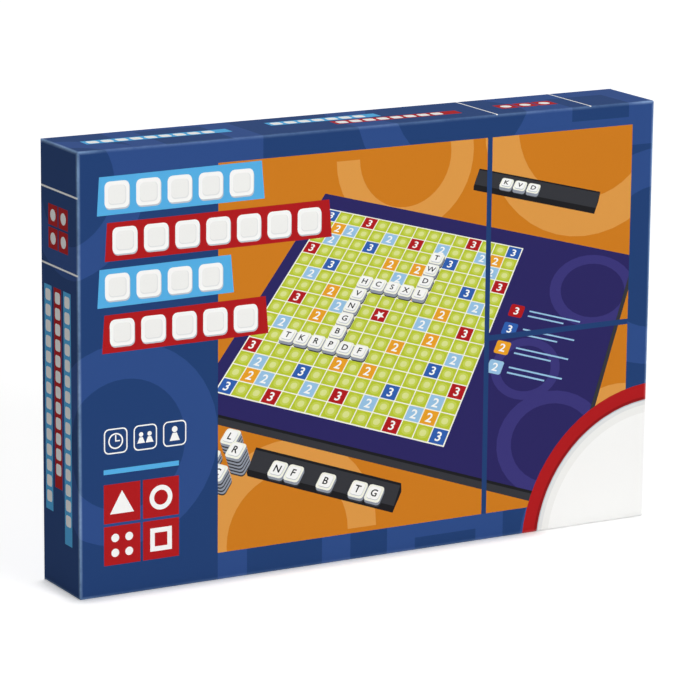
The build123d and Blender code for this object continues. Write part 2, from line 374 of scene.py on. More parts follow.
@dataclass
class TableView:
    """Looks down at a table, for the picture on the cover."""

    centre: Point = (38.0, 140.0)
    turn: float = -0.38
    tilt: float = 0.85
    distance: float = 1100.0
    zoom: float = 0.52

    def away(self, x: float, y: float) -> float:
        """How far a point of the table lies from the viewer, about the table's middle."""
        return x * math.sin(self.turn) + y * math.cos(self.turn)

    def spot(self, x: float, y: float, z: float) -> Point:
        """Place on the cover of a point over the table, all in millimetres.

        Args:
            x: Along the table.
            y: Across the table.
            z: Over the table.

        Returns:
            The place on the cover.
        """
        across = x * math.cos(self.turn) - y * math.sin(self.turn)
        away = self.away(x, y)
        depth = self.distance + away * math.cos(self.tilt) - z * math.sin(self.tilt)
        rise = away * math.sin(self.tilt) + z * math.cos(self.tilt)
        scale = self.zoom * self.distance / depth
        return (self.centre[0] + scale * across, self.centre[1] + scale * rise)


BONUS_SQUARES = {
    (0, 0): (Ink.RED, ""),
    (0, 3): (Ink.PALE_BLUE, "2"),
    (0, 6): (Ink.RED, "3"),
    (1, 4): (Ink.AMBER, "2"),
    (2, 2): (Ink.AMBER, "2"),
    (2, 6): (Ink.PALE_BLUE, "2"),
    (3, 5): (Ink.BLUE, "3"),
    (4, 7): (Ink.RED, "3"),
    (5, 6): (Ink.PALE_BLUE, "2"),
    (6, 6): (Ink.AMBER, "2"),
    (7, 7): (Ink.BLUE, "3"),
}


@dataclass
class BoardPlan:
    """Print of the game board, lying wide: squares on the left, a side panel on the right."""

    length: float = 500.0
    width: float = 370.0
    cell: float = 21.0
    count: int = 15
    start: float = -231.0
    line: float = 0.75
    border: float = 1.0
    numeral: float = 12.5
    star_radii: Pair = (3.2, 7.5)
    star_start: float = 18.0
    star_points: int = 5
    glows: tuple[tuple[float, Ink], ...] = ((1.5, Ink.LIME_MID), (0.9, Ink.LIME_PALE))
    glow_corner: float = 0.42
    rings: tuple[Round, ...] = ((205, 112, 62, 16), (150, -30, 46, 12), (215, -120, 70, 18))
    ring_steps: int = 16
    key_inset: float = 26.0
    key_top: float = 52.0
    key_pitch: float = 30.0
    key_square: Pair = (20.0, 3.0)
    key_numeral: float = 12.0
    key_kinds: tuple = ((Ink.RED, "3"), (Ink.BLUE, "3"), (Ink.AMBER, "2"), (Ink.PALE_BLUE, "2"))
    rule_start: float = 18.0
    rule_half: float = 1.2
    rules: tuple[Pair, ...] = ((4, 92), (-4, 70))  # level and far end

    @property
    def low(self) -> float:
        """Lower edge of the squares."""
        return -self.cell * self.count / 2

    def cell_middle(self, column: int, row: int) -> Point:
        """Middle of one square."""
        return (self.start + (column + 0.5) * self.cell, self.low + (row + 0.5) * self.cell)

    def bonus(self, column: int, row: int) -> tuple[Ink, str] | None:
        """Ink and numeral of a bonus square, or nothing for a plain one."""
        a, b = sorted((abs(column - self.count // 2), abs(row - self.count // 2)))
        return BONUS_SQUARES.get((a, b))

    def lay(self, sheet: InkSheet, place: Place) -> None:
        """Prints the board on a sheet.

        Args:
            sheet: The sheet to print on.
            place: Turns a point of the plan into a point of the sheet.
        """
        half_length, half_width = self.length / 2, self.width / 2
        side = self.start + self.cell * self.count
        sheet.place = place
        sheet.bar(-half_length, -half_width, half_length, half_width, Ink.NAVY)
        sheet.crop = (side, -half_width, half_length, half_width)
        for ring in self.rings:
            sheet.ring(*ring, Ink.NAVY_TONE, self.ring_steps)
        sheet.crop = None
        self.lay_key(sheet, side + self.key_inset)
        edge = self.border
        sheet.bar(self.start - edge, self.low - edge, side + edge, -self.low + edge, Ink.LINE)
        for column, row in product(range(self.count), repeat=2):
            self.lay_cell(sheet, column, row)
        sheet.place = None

    def lay_key(self, sheet: InkSheet, x: float) -> None:
        """Prints the four bonus squares and plain rules beside them, as a key on the side panel.

        Args:
            sheet: The sheet to print on.
            x: Middle of the squares along the board.
        """
        for index, (ink, sign) in enumerate(self.key_kinds):
            y = self.key_top - self.key_pitch * index
            sheet.square(x, y, *self.key_square, ink)
            sheet.glyph(sign, self.key_numeral, x, y, Ink.WHITE)
            for level, reach in self.rules:
                low, high = y + level - self.rule_half, y + level + self.rule_half
                sheet.bar(x + self.rule_start, low, x + reach, high, Ink.PALE_BLUE)

    def lay_cell(self, sheet: InkSheet, column: int, row: int) -> None:
        """Prints one square.

        Args:
            sheet: The sheet to print on.
            column: Square's number from the left.
            row: Square's number from below.
        """
        cx, cy = self.cell_middle(column, row)
        half = self.cell / 2 - self.line
        ink, sign = self.bonus(column, row) or (Ink.LIME, None)
        sheet.bar(cx - half, cy - half, cx + half, cy + half, ink)
        if sign is None:
            for share, glow_ink in self.glows:
                sheet.square(cx, cy, share * half, self.glow_corner * share * half, glow_ink, steps=2)
        elif sign:
            sheet.glyph(sign, self.numeral, cx, cy, Ink.WHITE)
        else:
            turn = 180 / self.star_points
            tips = range(2 * self.star_points)
            star = [polar(cx, cy, self.star_radii[i % 2], self.star_start + turn * i) for i in tips]
            sheet.lay(star, Ink.WHITE)


@dataclass(frozen=True)
class PictureRack:
    """A rack in the cover's picture, with the tiles on it by their place and letter."""

    x: float
    y: float
    length: float
    tiles_y: float
    tiles: tuple[tuple[float, str], ...]


@dataclass
class TableScene:
    """Picture of the game in play, seen through the cover's window."""

    sheet: InkSheet
    window: Rect = (-108.0, 17.0, 184.0, 256.0)
    view: TableView = field(default_factory=TableView)
    plan: BoardPlan = field(default_factory=BoardPlan)
    rings: tuple[Round, ...] = ((150, 262, 74, 24), (-60, 20, 62, 20), (178, 40, 50, 17), (20, 250, 48, 16))
    board_thickness: float = 6.0
    board_cast: Point = (5.0, -9.0)
    tile: Pair = (19.5, 3.4)
    tile_height: float = 6.5
    tile_cast: Point = (1.2, -1.6)
    pad: Pair = (14.5, 3.0)
    pad_height: float = 1.4
    letter: float = 8.5
    rack_seat: float = 12.0
    rack_section: tuple[Point, ...] = ((-13, 0), (-13, 7), (-9, 7), (10, 17), (13, 17), (13, 0))
    rack_rest: tuple[Point, Point] = ((-9, 7), (10, 17))
    far_rack: PictureRack = PictureRack(70, 268, 200, 262, ((22, "K"), (44, "V"), (66, "D")))
    near_rack: PictureRack = PictureRack(
        -40, -232, 190, -238, ((-96, "N"), (-75, "F"), (-33, "B"), (8, "T"), (29, "G"))
    )
    stacks: tuple[tuple[float, float, int, str], ...] = (
        (-172, -215, 3, "L"),
        (-150, -236, 5, "R"),
        (-186, -240, 2, "H"),
        (-160, -262, 4, "C"),
    )
    # First square, step from square to square, and the letters of each row of tiles
    runs: tuple = (
        ((2, 4), (1, 0), "TKRPDF"),
        ((5, 5), (0, 1), "BGNVH"),
        ((6, 9), (1, 0), "CSXL"),
        ((9, 10), (0, 1), "DWT"),
    )

    def at(self, outline: Sequence[Point], *levels: float) -> list[Point]:
        """Places on the cover of an outline over the table, at one height or several."""
        return [self.view.spot(x, y, z) for x, y in outline for z in levels]

    def lay(self) -> None:
        """Prints the table, the board, the tiles and the racks."""
        self.sheet.window = self.window
        self.sheet.bar(*self.window, Ink.ORANGE)
        for ring in self.rings:
            self.sheet.ring(*ring, Ink.ORANGE_TONE)
        self.lay_rack(self.far_rack)
        ends = product((-1, 1), repeat=2)
        corners = [(sx * self.plan.length / 2, sy * self.plan.width / 2) for sx, sy in ends]
        cast = [(x + self.board_cast[0], y + self.board_cast[1]) for x, y in corners]
        self.sheet.lay(hull(self.at(cast, 0.0) + self.at(corners, 0.0)), Ink.CHARCOAL)
        self.sheet.lay(hull(self.at(corners, 0.0, self.board_thickness)), Ink.BLACK)
        self.plan.lay(self.sheet, lambda x, y: self.view.spot(x, y, self.board_thickness))
        self.lay_play()
        self.lay_rack(self.near_rack)
        for x, y, levels, sign in self.stacks:
            for level in range(levels):
                self.lay_tile(x, y, level * self.tile_height, sign if level == levels - 1 else "")
        self.sheet.window = None

    def lay_play(self) -> None:
        """Prints the tiles that lie on the board, the far ones first."""
        places = []
        for (column, row), (across, up), letters in self.runs:
            for i, sign in enumerate(letters):
                places.append((*self.plan.cell_middle(column + across * i, row + up * i), sign))
        places.sort(key=lambda p: -self.view.away(p[0], p[1]))
        for x, y, sign in places:
            self.lay_tile(x, y, self.board_thickness, sign)

    def lay_tile(self, x: float, y: float, z: float, sign: str) -> None:
        """Prints one tile.

        Args:
            x: Middle along the table.
            y: Middle across the table.
            z: Height of the tile's foot.
            sign: Its letter, or nothing.
        """
        top = z + self.tile_height - self.pad_height
        lid = z + self.tile_height
        base = rounded_square(x, y, *self.tile, steps=2)
        pad = rounded_square(x, y, *self.pad, steps=2)
        cast = [(px + self.tile_cast[0], py + self.tile_cast[1]) for px, py in base]
        self.sheet.lay(hull(self.at(cast, z)), Ink.CHARCOAL)
        self.sheet.lay(hull(self.at(base, z, top)), Ink.DEEP_SHADE)
        self.sheet.lay(self.at(base, top), Ink.LINE)
        self.sheet.lay(hull(self.at(pad, top, lid)), Ink.SHADE)
        self.sheet.lay(self.at(pad, lid), Ink.WHITE)
        if sign:
            self.sheet.place = lambda px, py: self.view.spot(px, py, lid)
            self.sheet.glyph(sign, self.letter, x, y, Ink.BLACK)
            self.sheet.place = None

    def lay_rack(self, rack: PictureRack) -> None:
        """Prints one black rack with its sloping rest, and its tiles.

        Args:
            rack: The rack.
        """
        spot = self.view.spot
        left, right = rack.x - rack.length / 2, rack.x + rack.length / 2
        body = [spot(x, rack.y + py, pz) for x in (left, right) for py, pz in self.rack_section]
        self.sheet.lay(hull(body), Ink.BLACK)
        (near, foot), (far, head) = self.rack_rest
        rest = ((left, near, foot), (right, near, foot), (right, far, head), (left, far, head))
        self.sheet.lay([spot(x, rack.y + py, pz) for x, py, pz in rest], Ink.CHARCOAL)
        for x, sign in rack.tiles:
            self.lay_tile(x, rack.tiles_y, self.rack_seat, sign)


@dataclass
class CoverPrint:
    """Print of the lid: blue field, strips, picture, badges and a white corner.

    half, height and depth are half the panel's width, its height and the depth of its flaps.
    """

    sheet: InkSheet
    half: float
    height: float
    depth: float
    rings: tuple[Round, ...] = (
        (-170, 92, 62, 22),
        (-214, 250, 58, 20),
        (60, 290, 76, 26),
        (172, -8, 66, 24),
        (206, 170, 70, 24),
    )
    frames: tuple[Round, ...] = ((-62, 6, 92, 20), (-120, 292, 84, 20), (160, 282, 78, 18), (52, -14, 84, 20))
    window_bars: tuple[Rect, ...] = ((78, 17, 81.5, 256), (81.5, 128, 184, 131.5))
    # Ink, middle, number of squares and shift of each strip
    strips: tuple = (
        (Ink.SKY, 243, 5, 0),
        (Ink.RED, 215.5, 7, 5),
        (Ink.SKY, 188, 4, 0),
        (Ink.RED, 160.5, 5, 3),
    )
    # Shift of a strip's corners, from the lower left one round
    strip_skew: tuple[Point, ...] = ((-1.5, -12.0), (1.0, -11.0), (-1.0, 12.0), (0.0, 11.0))
    strip_left: float = -186.0
    strip_pitch: float = 20.5
    strip_inset: float = 11.5
    strip_spare: float = 5.5
    # Shift across, shift up, side, corner radius and ink of a blank square's layers
    blank: tuple = (
        (0.4, -0.9, 16.0, 3.2, Ink.SHADE),
        (0.0, 0.0, 16.0, 3.2, Ink.WHITE),
        (0.2, -0.3, 11.6, 2.6, Ink.PEARL),
        (0.0, 0.1, 11.0, 2.6, Ink.LINEN_WHITE),
    )
    block_left: float = -184.0
    block_low: float = 31.0
    block_side: float = 24.0
    block_gap: float = 1.8
    block_rule: Pair = (75.0, 78.0)
    triangle: tuple[Point, ...] = ((-8.0, -6.4), (8.0, -6.4), (0.0, 7.6))
    sign_ring: Pair = (7.6, 3.0)
    sign_frame: Pair = (14.4, 3.0)
    sign_dots: tuple[float, float, float] = (-4.6, 4.6, 2.6)  # two shifts and a radius
    badge_left: float = -176.0
    badge_pitch: float = 19.5
    badge_level: float = 95.0
    badge_outer: Pair = (15.5, 3.2)
    badge_inner: Pair = (13.9, 2.5)
    pawns: tuple[Pair, ...] = ((-137, 1.0), (-159.3, 0.76), (-153.7, 0.76))  # middle and size
    pawn_head: Pair = (2.6, 1.9)  # height and radius
    pawn_body: tuple[Point, ...] = ((-3.4, -4.4), (3.4, -4.4), (1.4, 0.4), (-1.4, 0.4))
    clock_ring: Pair = (4.9, 0.9)
    clock_hands: tuple[Rect, ...] = ((-0.4, 0.0, 0.4, 3.6), (-0.4, -0.4, 2.8, 0.4))
    corner_middle: Point = (6.0, -10.0)
    corner_radius: float = 98.0
    corner_steps: int = 72
    corner_bands: tuple[tuple[float, Ink], ...] = (
        (0.0, Ink.RED),
        (8.6, Ink.RED_SHADE),
        (10.6, Ink.SHADE),
        (11.4, Ink.PEARL),
        (14.0, Ink.LINEN_WHITE),
        (19.0, Ink.WHITE),
    )
    flap_line: float = 1.2
    flap_strip: float = 10.0
    flap_pitch: float = 9.5
    flap_inset: float = 6.0
    flap_spare: float = 4.0
    flap_square: Pair = (7.0, 1.5)
    left_lines: Pair = (196.0, 242.0)
    left_strips: tuple = ((10, Ink.SKY, 30, 184), (23, Ink.RED, 62, 184), (36, Ink.SKY, 46, 184))
    left_dots: Point = (13.0, 213.0)
    top_lines: Pair = (84.0, 152.0)
    top_strips: tuple = ((-20, 68, 14, Ink.RED), (-58, 18, 27, Ink.SKY), (-184, -88, 20, Ink.SKY))
    top_dots: Point = (98.0, 22.3)
    dot_pitch: float = 14.0
    dot_half: float = 6.3
    dot_radius: float = 3.6

    def lay(self) -> None:
        """Prints the panel, what runs over its edges, and the left and top flaps."""
        for ring in self.rings:
            self.sheet.ring(*ring, Ink.FIELD_TONE)
        for square in self.frames:
            self.sheet.frame(*square, Ink.FIELD_TONE)
        TableScene(self.sheet).lay()
        for bar in self.window_bars:
            self.sheet.bar(*bar, Ink.FIELD)
        self.lay_strips()
        self.lay_blocks()
        self.lay_badges()
        across, up = self.corner_middle
        for inset, ink in self.corner_bands:
            self.sheet.disc(self.half + across, up, self.corner_radius - inset, ink, self.corner_steps)
        self.lay_left_side()
        self.lay_top_side()

    def lay_strips(self) -> None:
        """Prints the stacked strips, each a little askew, with a row of blank squares."""
        for ink, middle, count, shift in self.strips:
            left = self.strip_left + shift
            right = left + self.strip_pitch * count + self.strip_spare
            ends = zip((left, right, right, left), self.strip_skew)
            self.sheet.lay([(x + across, middle + up) for x, (across, up) in ends], ink)
            for index in range(count):
                x = left + self.strip_inset + self.strip_pitch * index
                for across, up, side, radius, layer in self.blank:
                    self.sheet.square(x + across, middle + up, side, radius, layer)

    def lay_blocks(self) -> None:
        """Prints the red squares with their signs, and the rule over them."""
        side, pitch = self.block_side, self.block_side + self.block_gap
        for (row, column), sign in zip(product(range(2), repeat=2), Sign):
            x = self.block_left + column * pitch + side / 2
            y = self.block_low + (1 - row) * pitch
            self.sheet.bar(x - side / 2, y - side / 2, x + side / 2, y + side / 2, Ink.RED)
            self.lay_sign(sign, x, y)
        low, high = self.block_rule
        self.sheet.bar(self.block_left, low, self.block_left + 2 * side + self.block_gap, high, Ink.SKY)

    def lay_sign(self, sign: Sign, x: float, y: float) -> None:
        """Prints one plain white sign.

        Args:
            sign: Which sign.
            x: Middle across.
            y: Middle up.
        """
        if sign is Sign.TRIANGLE:
            self.sheet.lay([(x + across, y + up) for across, up in self.triangle], Ink.WHITE)
        elif sign is Sign.RING:
            self.sheet.ring(x, y, *self.sign_ring, Ink.WHITE)
        elif sign is Sign.DOTS:
            *shifts, radius = self.sign_dots
            for across, up in product(shifts, repeat=2):
                self.sheet.disc(x + across, y + up, radius, Ink.WHITE, steps=16)
        else:
            self.sheet.frame(x, y, *self.sign_frame, Ink.WHITE)

    def lay_badges(self) -> None:
        """Prints the three outlined badges: a clock, two pawns and one pawn."""
        clock, level = self.badge_left, self.badge_level
        for index in range(3):
            self.sheet.badge(clock + self.badge_pitch * index, level, self.badge_outer, self.badge_inner)
        for x, size in self.pawns:
            height, radius = self.pawn_head
            self.sheet.disc(x, level + height * size, radius * size, Ink.WHITE, steps=14)
            body = [(x + across * size, level + up * size) for across, up in self.pawn_body]
            self.sheet.lay(body, Ink.WHITE)
        self.sheet.ring(clock, level, *self.clock_ring, Ink.WHITE, steps=12)
        for left, low, right, high in self.clock_hands:
            self.sheet.bar(clock + left, level + low, clock + right, level + high, Ink.WHITE)

    def lay_flap_strip(self, box: Rect, ink: Ink, first: Point, step: Point) -> None:
        """Prints one strip of a flap with its row of white squares.

        Args:
            box: The strip.
            ink: Its ink.
            first: Middle of the first square.
            step: Way from one square to the next.
        """
        self.sheet.bar(*box, ink)
        reach = max(box[2] - box[0], box[3] - box[1])
        count = int((reach - self.flap_spare) / self.flap_pitch)
        self.sheet.row(first, step, count, self.flap_square, Ink.WHITE, steps=2)

    def lay_dot(self, x: float, y: float) -> None:
        """Prints a red square with a white dot.

        Args:
            x: Middle across.
            y: Middle up.
        """
        half = self.dot_half
        self.sheet.bar(x - half, y - half, x + half, y + half, Ink.RED)
        self.sheet.disc(x, y, self.dot_radius, Ink.WHITE, steps=18)

    def lay_left_side(self) -> None:
        """Prints the left flap: red squares above, upright strips below, and dividing lines."""
        edge = -self.half
        for level in self.left_lines:
            self.sheet.bar(edge - self.depth, level, edge, level + self.flap_line, Ink.WHITE)
        for near, ink, low, high in self.left_strips:
            box = (edge - near - self.flap_strip, low, edge - near, high)
            first = (edge - near - self.flap_strip / 2, high - self.flap_inset)
            self.lay_flap_strip(box, ink, first, (0.0, -self.flap_pitch))
        across, low = self.left_dots
        for row, column in product(range(2), repeat=2):
            x = edge - across - self.dot_pitch * column - self.dot_half
            self.lay_dot(x, low + self.dot_pitch * row)

    def lay_top_side(self) -> None:
        """Prints the top flap: strips on the left, red squares on the right, and dividing lines."""
        edge = self.height
        for place in self.top_lines:
            self.sheet.bar(place, edge, place + self.flap_line, edge + self.depth, Ink.WHITE)
        left, up = self.top_dots
        for column in range(3):
            self.lay_dot(left + self.dot_pitch * column + self.dot_half, edge + up)
        for left, right, low, ink in self.top_strips:
            box = (left, edge + low, right, edge + low + self.flap_strip)
            first = (left + self.flap_inset, edge + low + self.flap_strip / 2)
            self.lay_flap_strip(box, ink, first, (self.flap_pitch, 0.0))


@dataclass
class BackPrint:
    """Print of the tray: blue field, a plan of the board, a row of strips and three badges."""

    sheet: InkSheet
    rings: tuple[Round, ...] = ((-150, 40, 74, 26), (160, 240, 80, 28), (40, 10, 60, 22))
    frames: tuple[Round, ...] = ((-110, 238, 96, 22), (168, 60, 92, 22))
    plan_middle: Point = (-52.0, 138.0)
    plan_ground: Pair = (250.0, 196.0)
    plan_corner: float = 6.0
    plan_scale: float = 0.46
    # Ink, middle and number of squares of each strip
    strips: tuple = ((Ink.SKY, 222, 5), (Ink.RED, 194, 4), (Ink.SKY, 166, 5), (Ink.RED, 138, 3))
    strip_left: float = 88.0
    strip_half: float = 11.0
    strip_pitch: float = 18.0
    strip_spare: float = 4.0
    strip_square: Pair = (14.0, 2.8)
    badge_first: Point = (98.0, 92.0)
    badge_pitch: float = 26.0
    badge_outer: Pair = (20.0, 4.0)
    badge_inner: Pair = (18.0, 3.2)
    badge_dot: Pair = (2.5, 1.6)  # radius of the first dot, and how much more the next one has

    def lay(self) -> None:
        """Prints the panel and what runs over its edges."""
        for ring in self.rings:
            self.sheet.ring(*ring, Ink.FIELD_TONE)
        for square in self.frames:
            self.sheet.frame(*square, Ink.FIELD_TONE)
        (cx, cy), scale = self.plan_middle, self.plan_scale
        self.sheet.lay(rounded_box(cx, cy, self.plan_ground, self.plan_corner, steps=6), Ink.ORANGE)
        BoardPlan().lay(self.sheet, lambda x, y: (cx + scale * x, cy + scale * y))
        left, half, pitch = self.strip_left, self.strip_half, self.strip_pitch
        for ink, middle, count in self.strips:
            self.sheet.bar(left, middle - half, left + pitch * count + self.strip_spare, middle + half, ink)
            self.sheet.row((left + half, middle), (pitch, 0.0), count, self.strip_square, Ink.WHITE)
        x, y = self.badge_first
        for index in range(3):
            middle = x + self.badge_pitch * index
            radius = self.badge_dot[0] + self.badge_dot[1] * index
            self.sheet.badge(middle, y, self.badge_outer, self.badge_inner)
            self.sheet.disc(middle, y, radius, Ink.WHITE, steps=20)


class MeshMaker:
    """Collects points, faces, inks and flat places, and makes one mesh of them."""

    def __init__(self, name: str) -> None:
        """Starts an empty mesh.

        Args:
            name: Name of the piece to make.
        """
        self.name = name
        self.points: list[Vector] = []
        self.facings: list[Vector | None] = []
        self.faces: list[list[int]] = []
        self.inks: list[Colour] = []
        self.flats: list[list[Point] | None] = []
        self.slots: list[int] = []

    def add_points(self, placed: Sequence[tuple[Vector, Vector | None]]) -> int:
        """Adds points.

        Args:
            placed: Each point with its facing, or with none.

        Returns:
            The first point's number.
        """
        first = len(self.points)
        for spot, facing in placed:
            self.points.append(spot)
            self.facings.append(facing)
        return first

    def add_face(
        self,
        corners: list[int],
        ink: Colour = (1.0, 1.0, 1.0),
        flat: list[Point] | None = None,
        slot: int = 0,
    ) -> None:
        """Adds one face, turned so that it looks the way that its first point faces.

        Args:
            corners: Numbers of its points.
            ink: Its printed colour.
            flat: Its place on the flat sheet.
            slot: Number of its material.
        """
        facing = self.facings[corners[0]]
        a, b, c = (self.points[i] for i in corners[:3])
        normal = (b - a).cross(c - a)
        if facing is not None and normal.dot(facing) < 0:
            corners = corners[::-1]
            flat = flat[::-1] if flat else None
        self.faces.append(corners)
        self.inks.append(ink)
        self.flats.append(flat)
        self.slots.append(slot)

    def add_quad(self, corners: Sequence[Vector], facing: Vector, ink: Ink, flat: Rect) -> None:
        """Adds one plain face with four corners of its own.

        Args:
            corners: The corners in order.
            facing: The way that it looks.
            ink: Its ink.
            flat: Its place on the flat sheet.
        """
        left, low, right, high = flat
        start = self.add_points([(corner, facing) for corner in corners])
        places = [(left, low), (right, low), (right, high), (left, high)]
        self.add_face(list(range(start, start + 4)), ink.linear, places)

    def add_sheet(
        self,
        sheet: InkSheet,
        place: Callable[[Vector], tuple[Vector, Vector]],
        flat: Callable[[Vector], Point],
    ) -> None:
        """Adds a print, cut along its shapes.

        Args:
            sheet: The print.
            place: Gives a sheet's point its place in metres and its facing.
            flat: Gives a sheet's point its place on the flat sheet.
        """
        spots, faces, inks = sheet.cut()
        first = self.add_points([place(p) for p in spots])
        flats = [flat(p) for p in spots]
        for face, ink in zip(faces, inks):
            self.add_face([first + i for i in face], ink.linear, [flats[i] for i in face])

    def finish(self, materials: Sequence[bpy.types.Material], sharp: float | None = None) -> bpy.types.Object:
        """Makes the object and links it to the scene.

        Args:
            materials: Its materials, in slot order.
            sharp: Angle in degrees over which an edge is sharp, where points have no facing.

        Returns:
            The object.
        """
        mesh = bpy.data.meshes.new(self.name)
        mesh.from_pydata([tuple(p) for p in self.points], [], self.faces)
        for material in materials:
            mesh.materials.append(material)
        mesh.polygons.foreach_set("material_index", self.slots)
        mesh.polygons.foreach_set("use_smooth", [True] * len(self.faces))
        ink = mesh.attributes.new("ink", "FLOAT_COLOR", "CORNER")
        colours = [v for face, c in zip(self.faces, self.inks) for _ in face for v in (*c, 1.0)]
        ink.data.foreach_set("color", colours)
        if all(flat is not None for flat in self.flats):
            layer = mesh.uv_layers.new(name="OFBake")
            layer.data.foreach_set("uv", [v for flat in self.flats for p in flat for v in p])
        mesh.update()
        if all(f is not None for f in self.facings):
            mesh.normals_split_custom_set_from_vertices([tuple(f) for f in self.facings])
        elif sharp is not None:
            mesh.set_sharp_from_angle(angle=math.radians(sharp))
        made = bpy.data.objects.new(self.name, mesh)
        bpy.context.scene.collection.objects.link(made)
        log.info("%s: %d faces", self.name, len(self.faces))
        return made


@dataclass(frozen=True)
class FlatStrips:
    """Places of a sheet's plain edges on its flat map: strips one over the other."""

    left: float
    right: float
    low: float
    height: float
    pitch: float

    def strip(self, index: int) -> Rect:
        """Place of one strip."""
        low = self.low + self.pitch * index
        return (self.left, low, self.right, low + self.height)


@dataclass
class PaperWrap:
    """Paper of the lid or the tray: printed outside, folded over the rim and turned in."""

    node: str
    body: str
    slot: str
    inward: int
    radius: float = 1.2
    wall: float = 2.6
    paper: float = 0.3
    turn_in: float = 15.0
    flat_margin: float = 20.0
    rim_strips: FlatStrips = FlatStrips(left=0.004, right=0.09, low=0.006, height=0.006, pitch=0.0075)

    def __post_init__(self) -> None:
        """Reads the shell's size from its solid."""
        low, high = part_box(self.node)
        self.half = (high[0] - low[0]) / 2 / MM
        self.low = low[2] / MM
        self.height = (high[2] - low[2]) / MM
        self.panel_y = (low[1] if self.inward > 0 else high[1]) / MM
        self.depth = (high[1] - low[1]) / MM

    def place(self, p: Vector) -> tuple[Vector, Vector]:
        """Folds a point of the flat sheet round the shell.

        Args:
            p: The point, across and up the panel as seen from outside.

        Returns:
            The point in metres, and the way that the paper faces there.
        """
        x = max(-self.half, min(self.half, p.x))
        z = max(0.0, min(self.height, p.y))
        run = max(0.0, -self.half - p.x, p.x - self.half, -p.y, p.y - self.height)
        core_x = max(self.radius - self.half, min(self.half - self.radius, x))
        core_z = max(self.radius, min(self.height - self.radius, z))
        core = Vector((core_x, max(run, self.radius), core_z))
        facing = (Vector((x, run, z)) - core).normalized()
        spot = core + self.radius * facing
        turned = Vector((self.inward * facing.x, self.inward * facing.y, facing.z))
        folded = Vector((self.inward * spot.x, self.panel_y + self.inward * spot.y, self.low + spot.z))
        return folded * MM, turned

    def sheet(self) -> InkSheet:
        """Flat sheet with its panel, its flaps and the lines along its folds.

        Returns:
            The sheet, still unprinted.
        """
        half, height, depth = self.half, self.height, self.depth
        panels = (
            (-half, 0, half, height),
            (-half - depth, 0, -half, height),
            (half, 0, half + depth, height),
            (-half, height, half, height + depth),
            (-half, -depth, half, 0),
        )
        sheet = InkSheet(bases=len(panels))
        for panel in panels:
            sheet.bar(*panel, Ink.FIELD)
        half_bend = math.tan(math.radians(22.5))
        for step in (self.radius * (1 - half_bend), self.radius):
            for side in (-1, 1):
                for offset in (-step, step):
                    sheet.line((side * (half + offset), 0), (side * (half + offset), height))
                edge = height + step if side > 0 else -step
                inner = height - step if side > 0 else step
                sheet.line((-half, edge), (half, edge))
                sheet.line((-half, inner), (half, inner))
                for level in (step, height - step):
                    sheet.line((side * half, level), (side * (half + depth), level))
                outer = height + depth if side > 0 else -depth
                start = height if side > 0 else 0
                for place in (-half + step, half - step):
                    sheet.line((place, start), (place, outer))
        return sheet

    def rim_quads(self) -> list[tuple[list[Vector], Vector]]:
        """Paper over the rim and on the inside.

        Returns:
            Four corners and a facing of each face.
        """
        rim = self.panel_y + self.inward * self.depth
        back = rim - self.inward * self.turn_in
        low, high = self.low, self.low + self.height
        outline = [(-self.half, low), (self.half, low), (self.half, high), (-self.half, high)]
        loops = []
        for inset in (0.0, self.wall, self.wall - self.paper):
            loop = [(x - math.copysign(inset, x), z + (inset if z == low else -inset)) for x, z in outline]
            loops.append(loop)
        outer, inner, under = loops
        inside = ((0, 0, 1), (-1, 0, 0), (0, 0, -1), (1, 0, 0))
        quads = []
        for i in range(4):
            j = (i + 1) % 4
            a, b, c, d = outer[i], outer[j], inner[j], inner[i]
            faces = (
                (((a, rim), (b, rim), (c, rim), (d, rim)), (0, self.inward, 0)),
                (((d, rim), (c, rim), (c, back), (d, back)), inside[i]),
                (((d, back), (c, back), (under[j], back), (under[i], back)), (0, -self.inward, 0)),
            )
            for corners, facing in faces:
                quads.append(([Vector((p[0], y, p[1])) for p, y in corners], Vector(facing)))
        return quads

    def build(self, sheet: InkSheet, material: bpy.types.Material) -> None:
        """Makes the wrap and lets it stand for its solid.

        Args:
            sheet: The flat sheet with its print.
            material: The paper's finish.
        """
        maker = MeshMaker(f"{self.node}_print")
        span = max(2 * self.half, self.height) + 2 * self.depth + self.flat_margin
        middle = self.height / 2
        maker.add_sheet(
            sheet, self.place, lambda p: ((p.x + span / 2) / span, (p.y - middle + span / 2) / span)
        )
        for index, (corners, facing) in enumerate(self.rim_quads()):
            maker.add_quad([c * MM for c in corners], facing, Ink.FIELD, self.rim_strips.strip(index))
        wrap = maker.finish([material])
        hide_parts(self.node)
        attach(wrap, self.body)


def operator(name: str, swapped: bool = False) -> Callable[["Signal", "Signal | float"], "Signal"]:
    """Makes an operator of Signal.

    Args:
        name: Operation of the Math node that it adds.
        swapped: True where the signal comes second.

    Returns:
        The method.
    """

    def method(self: "Signal", other: "Signal | float") -> "Signal":
        """Adds the Math node."""
        return self.bench.math(name, *((other, self) if swapped else (self, other)))

    return method


class Signal:
    """An output socket that can stand in sums: each operator adds a Math node."""

    __add__, __radd__ = operator("ADD"), operator("ADD", swapped=True)
    __sub__, __rsub__ = operator("SUBTRACT"), operator("SUBTRACT", swapped=True)
    __mul__, __truediv__ = operator("MULTIPLY"), operator("DIVIDE")

    def __init__(self, bench: "NodeBench", socket: bpy.types.NodeSocket) -> None:
        """Wraps one socket of the bench's tree."""
        self.bench = bench
        self.socket = socket

    def clamped(self) -> "Signal":
        """Holds the signal between 0 and 1, in the Math node that puts it out."""
        self.socket.node.use_clamp = True
        return self


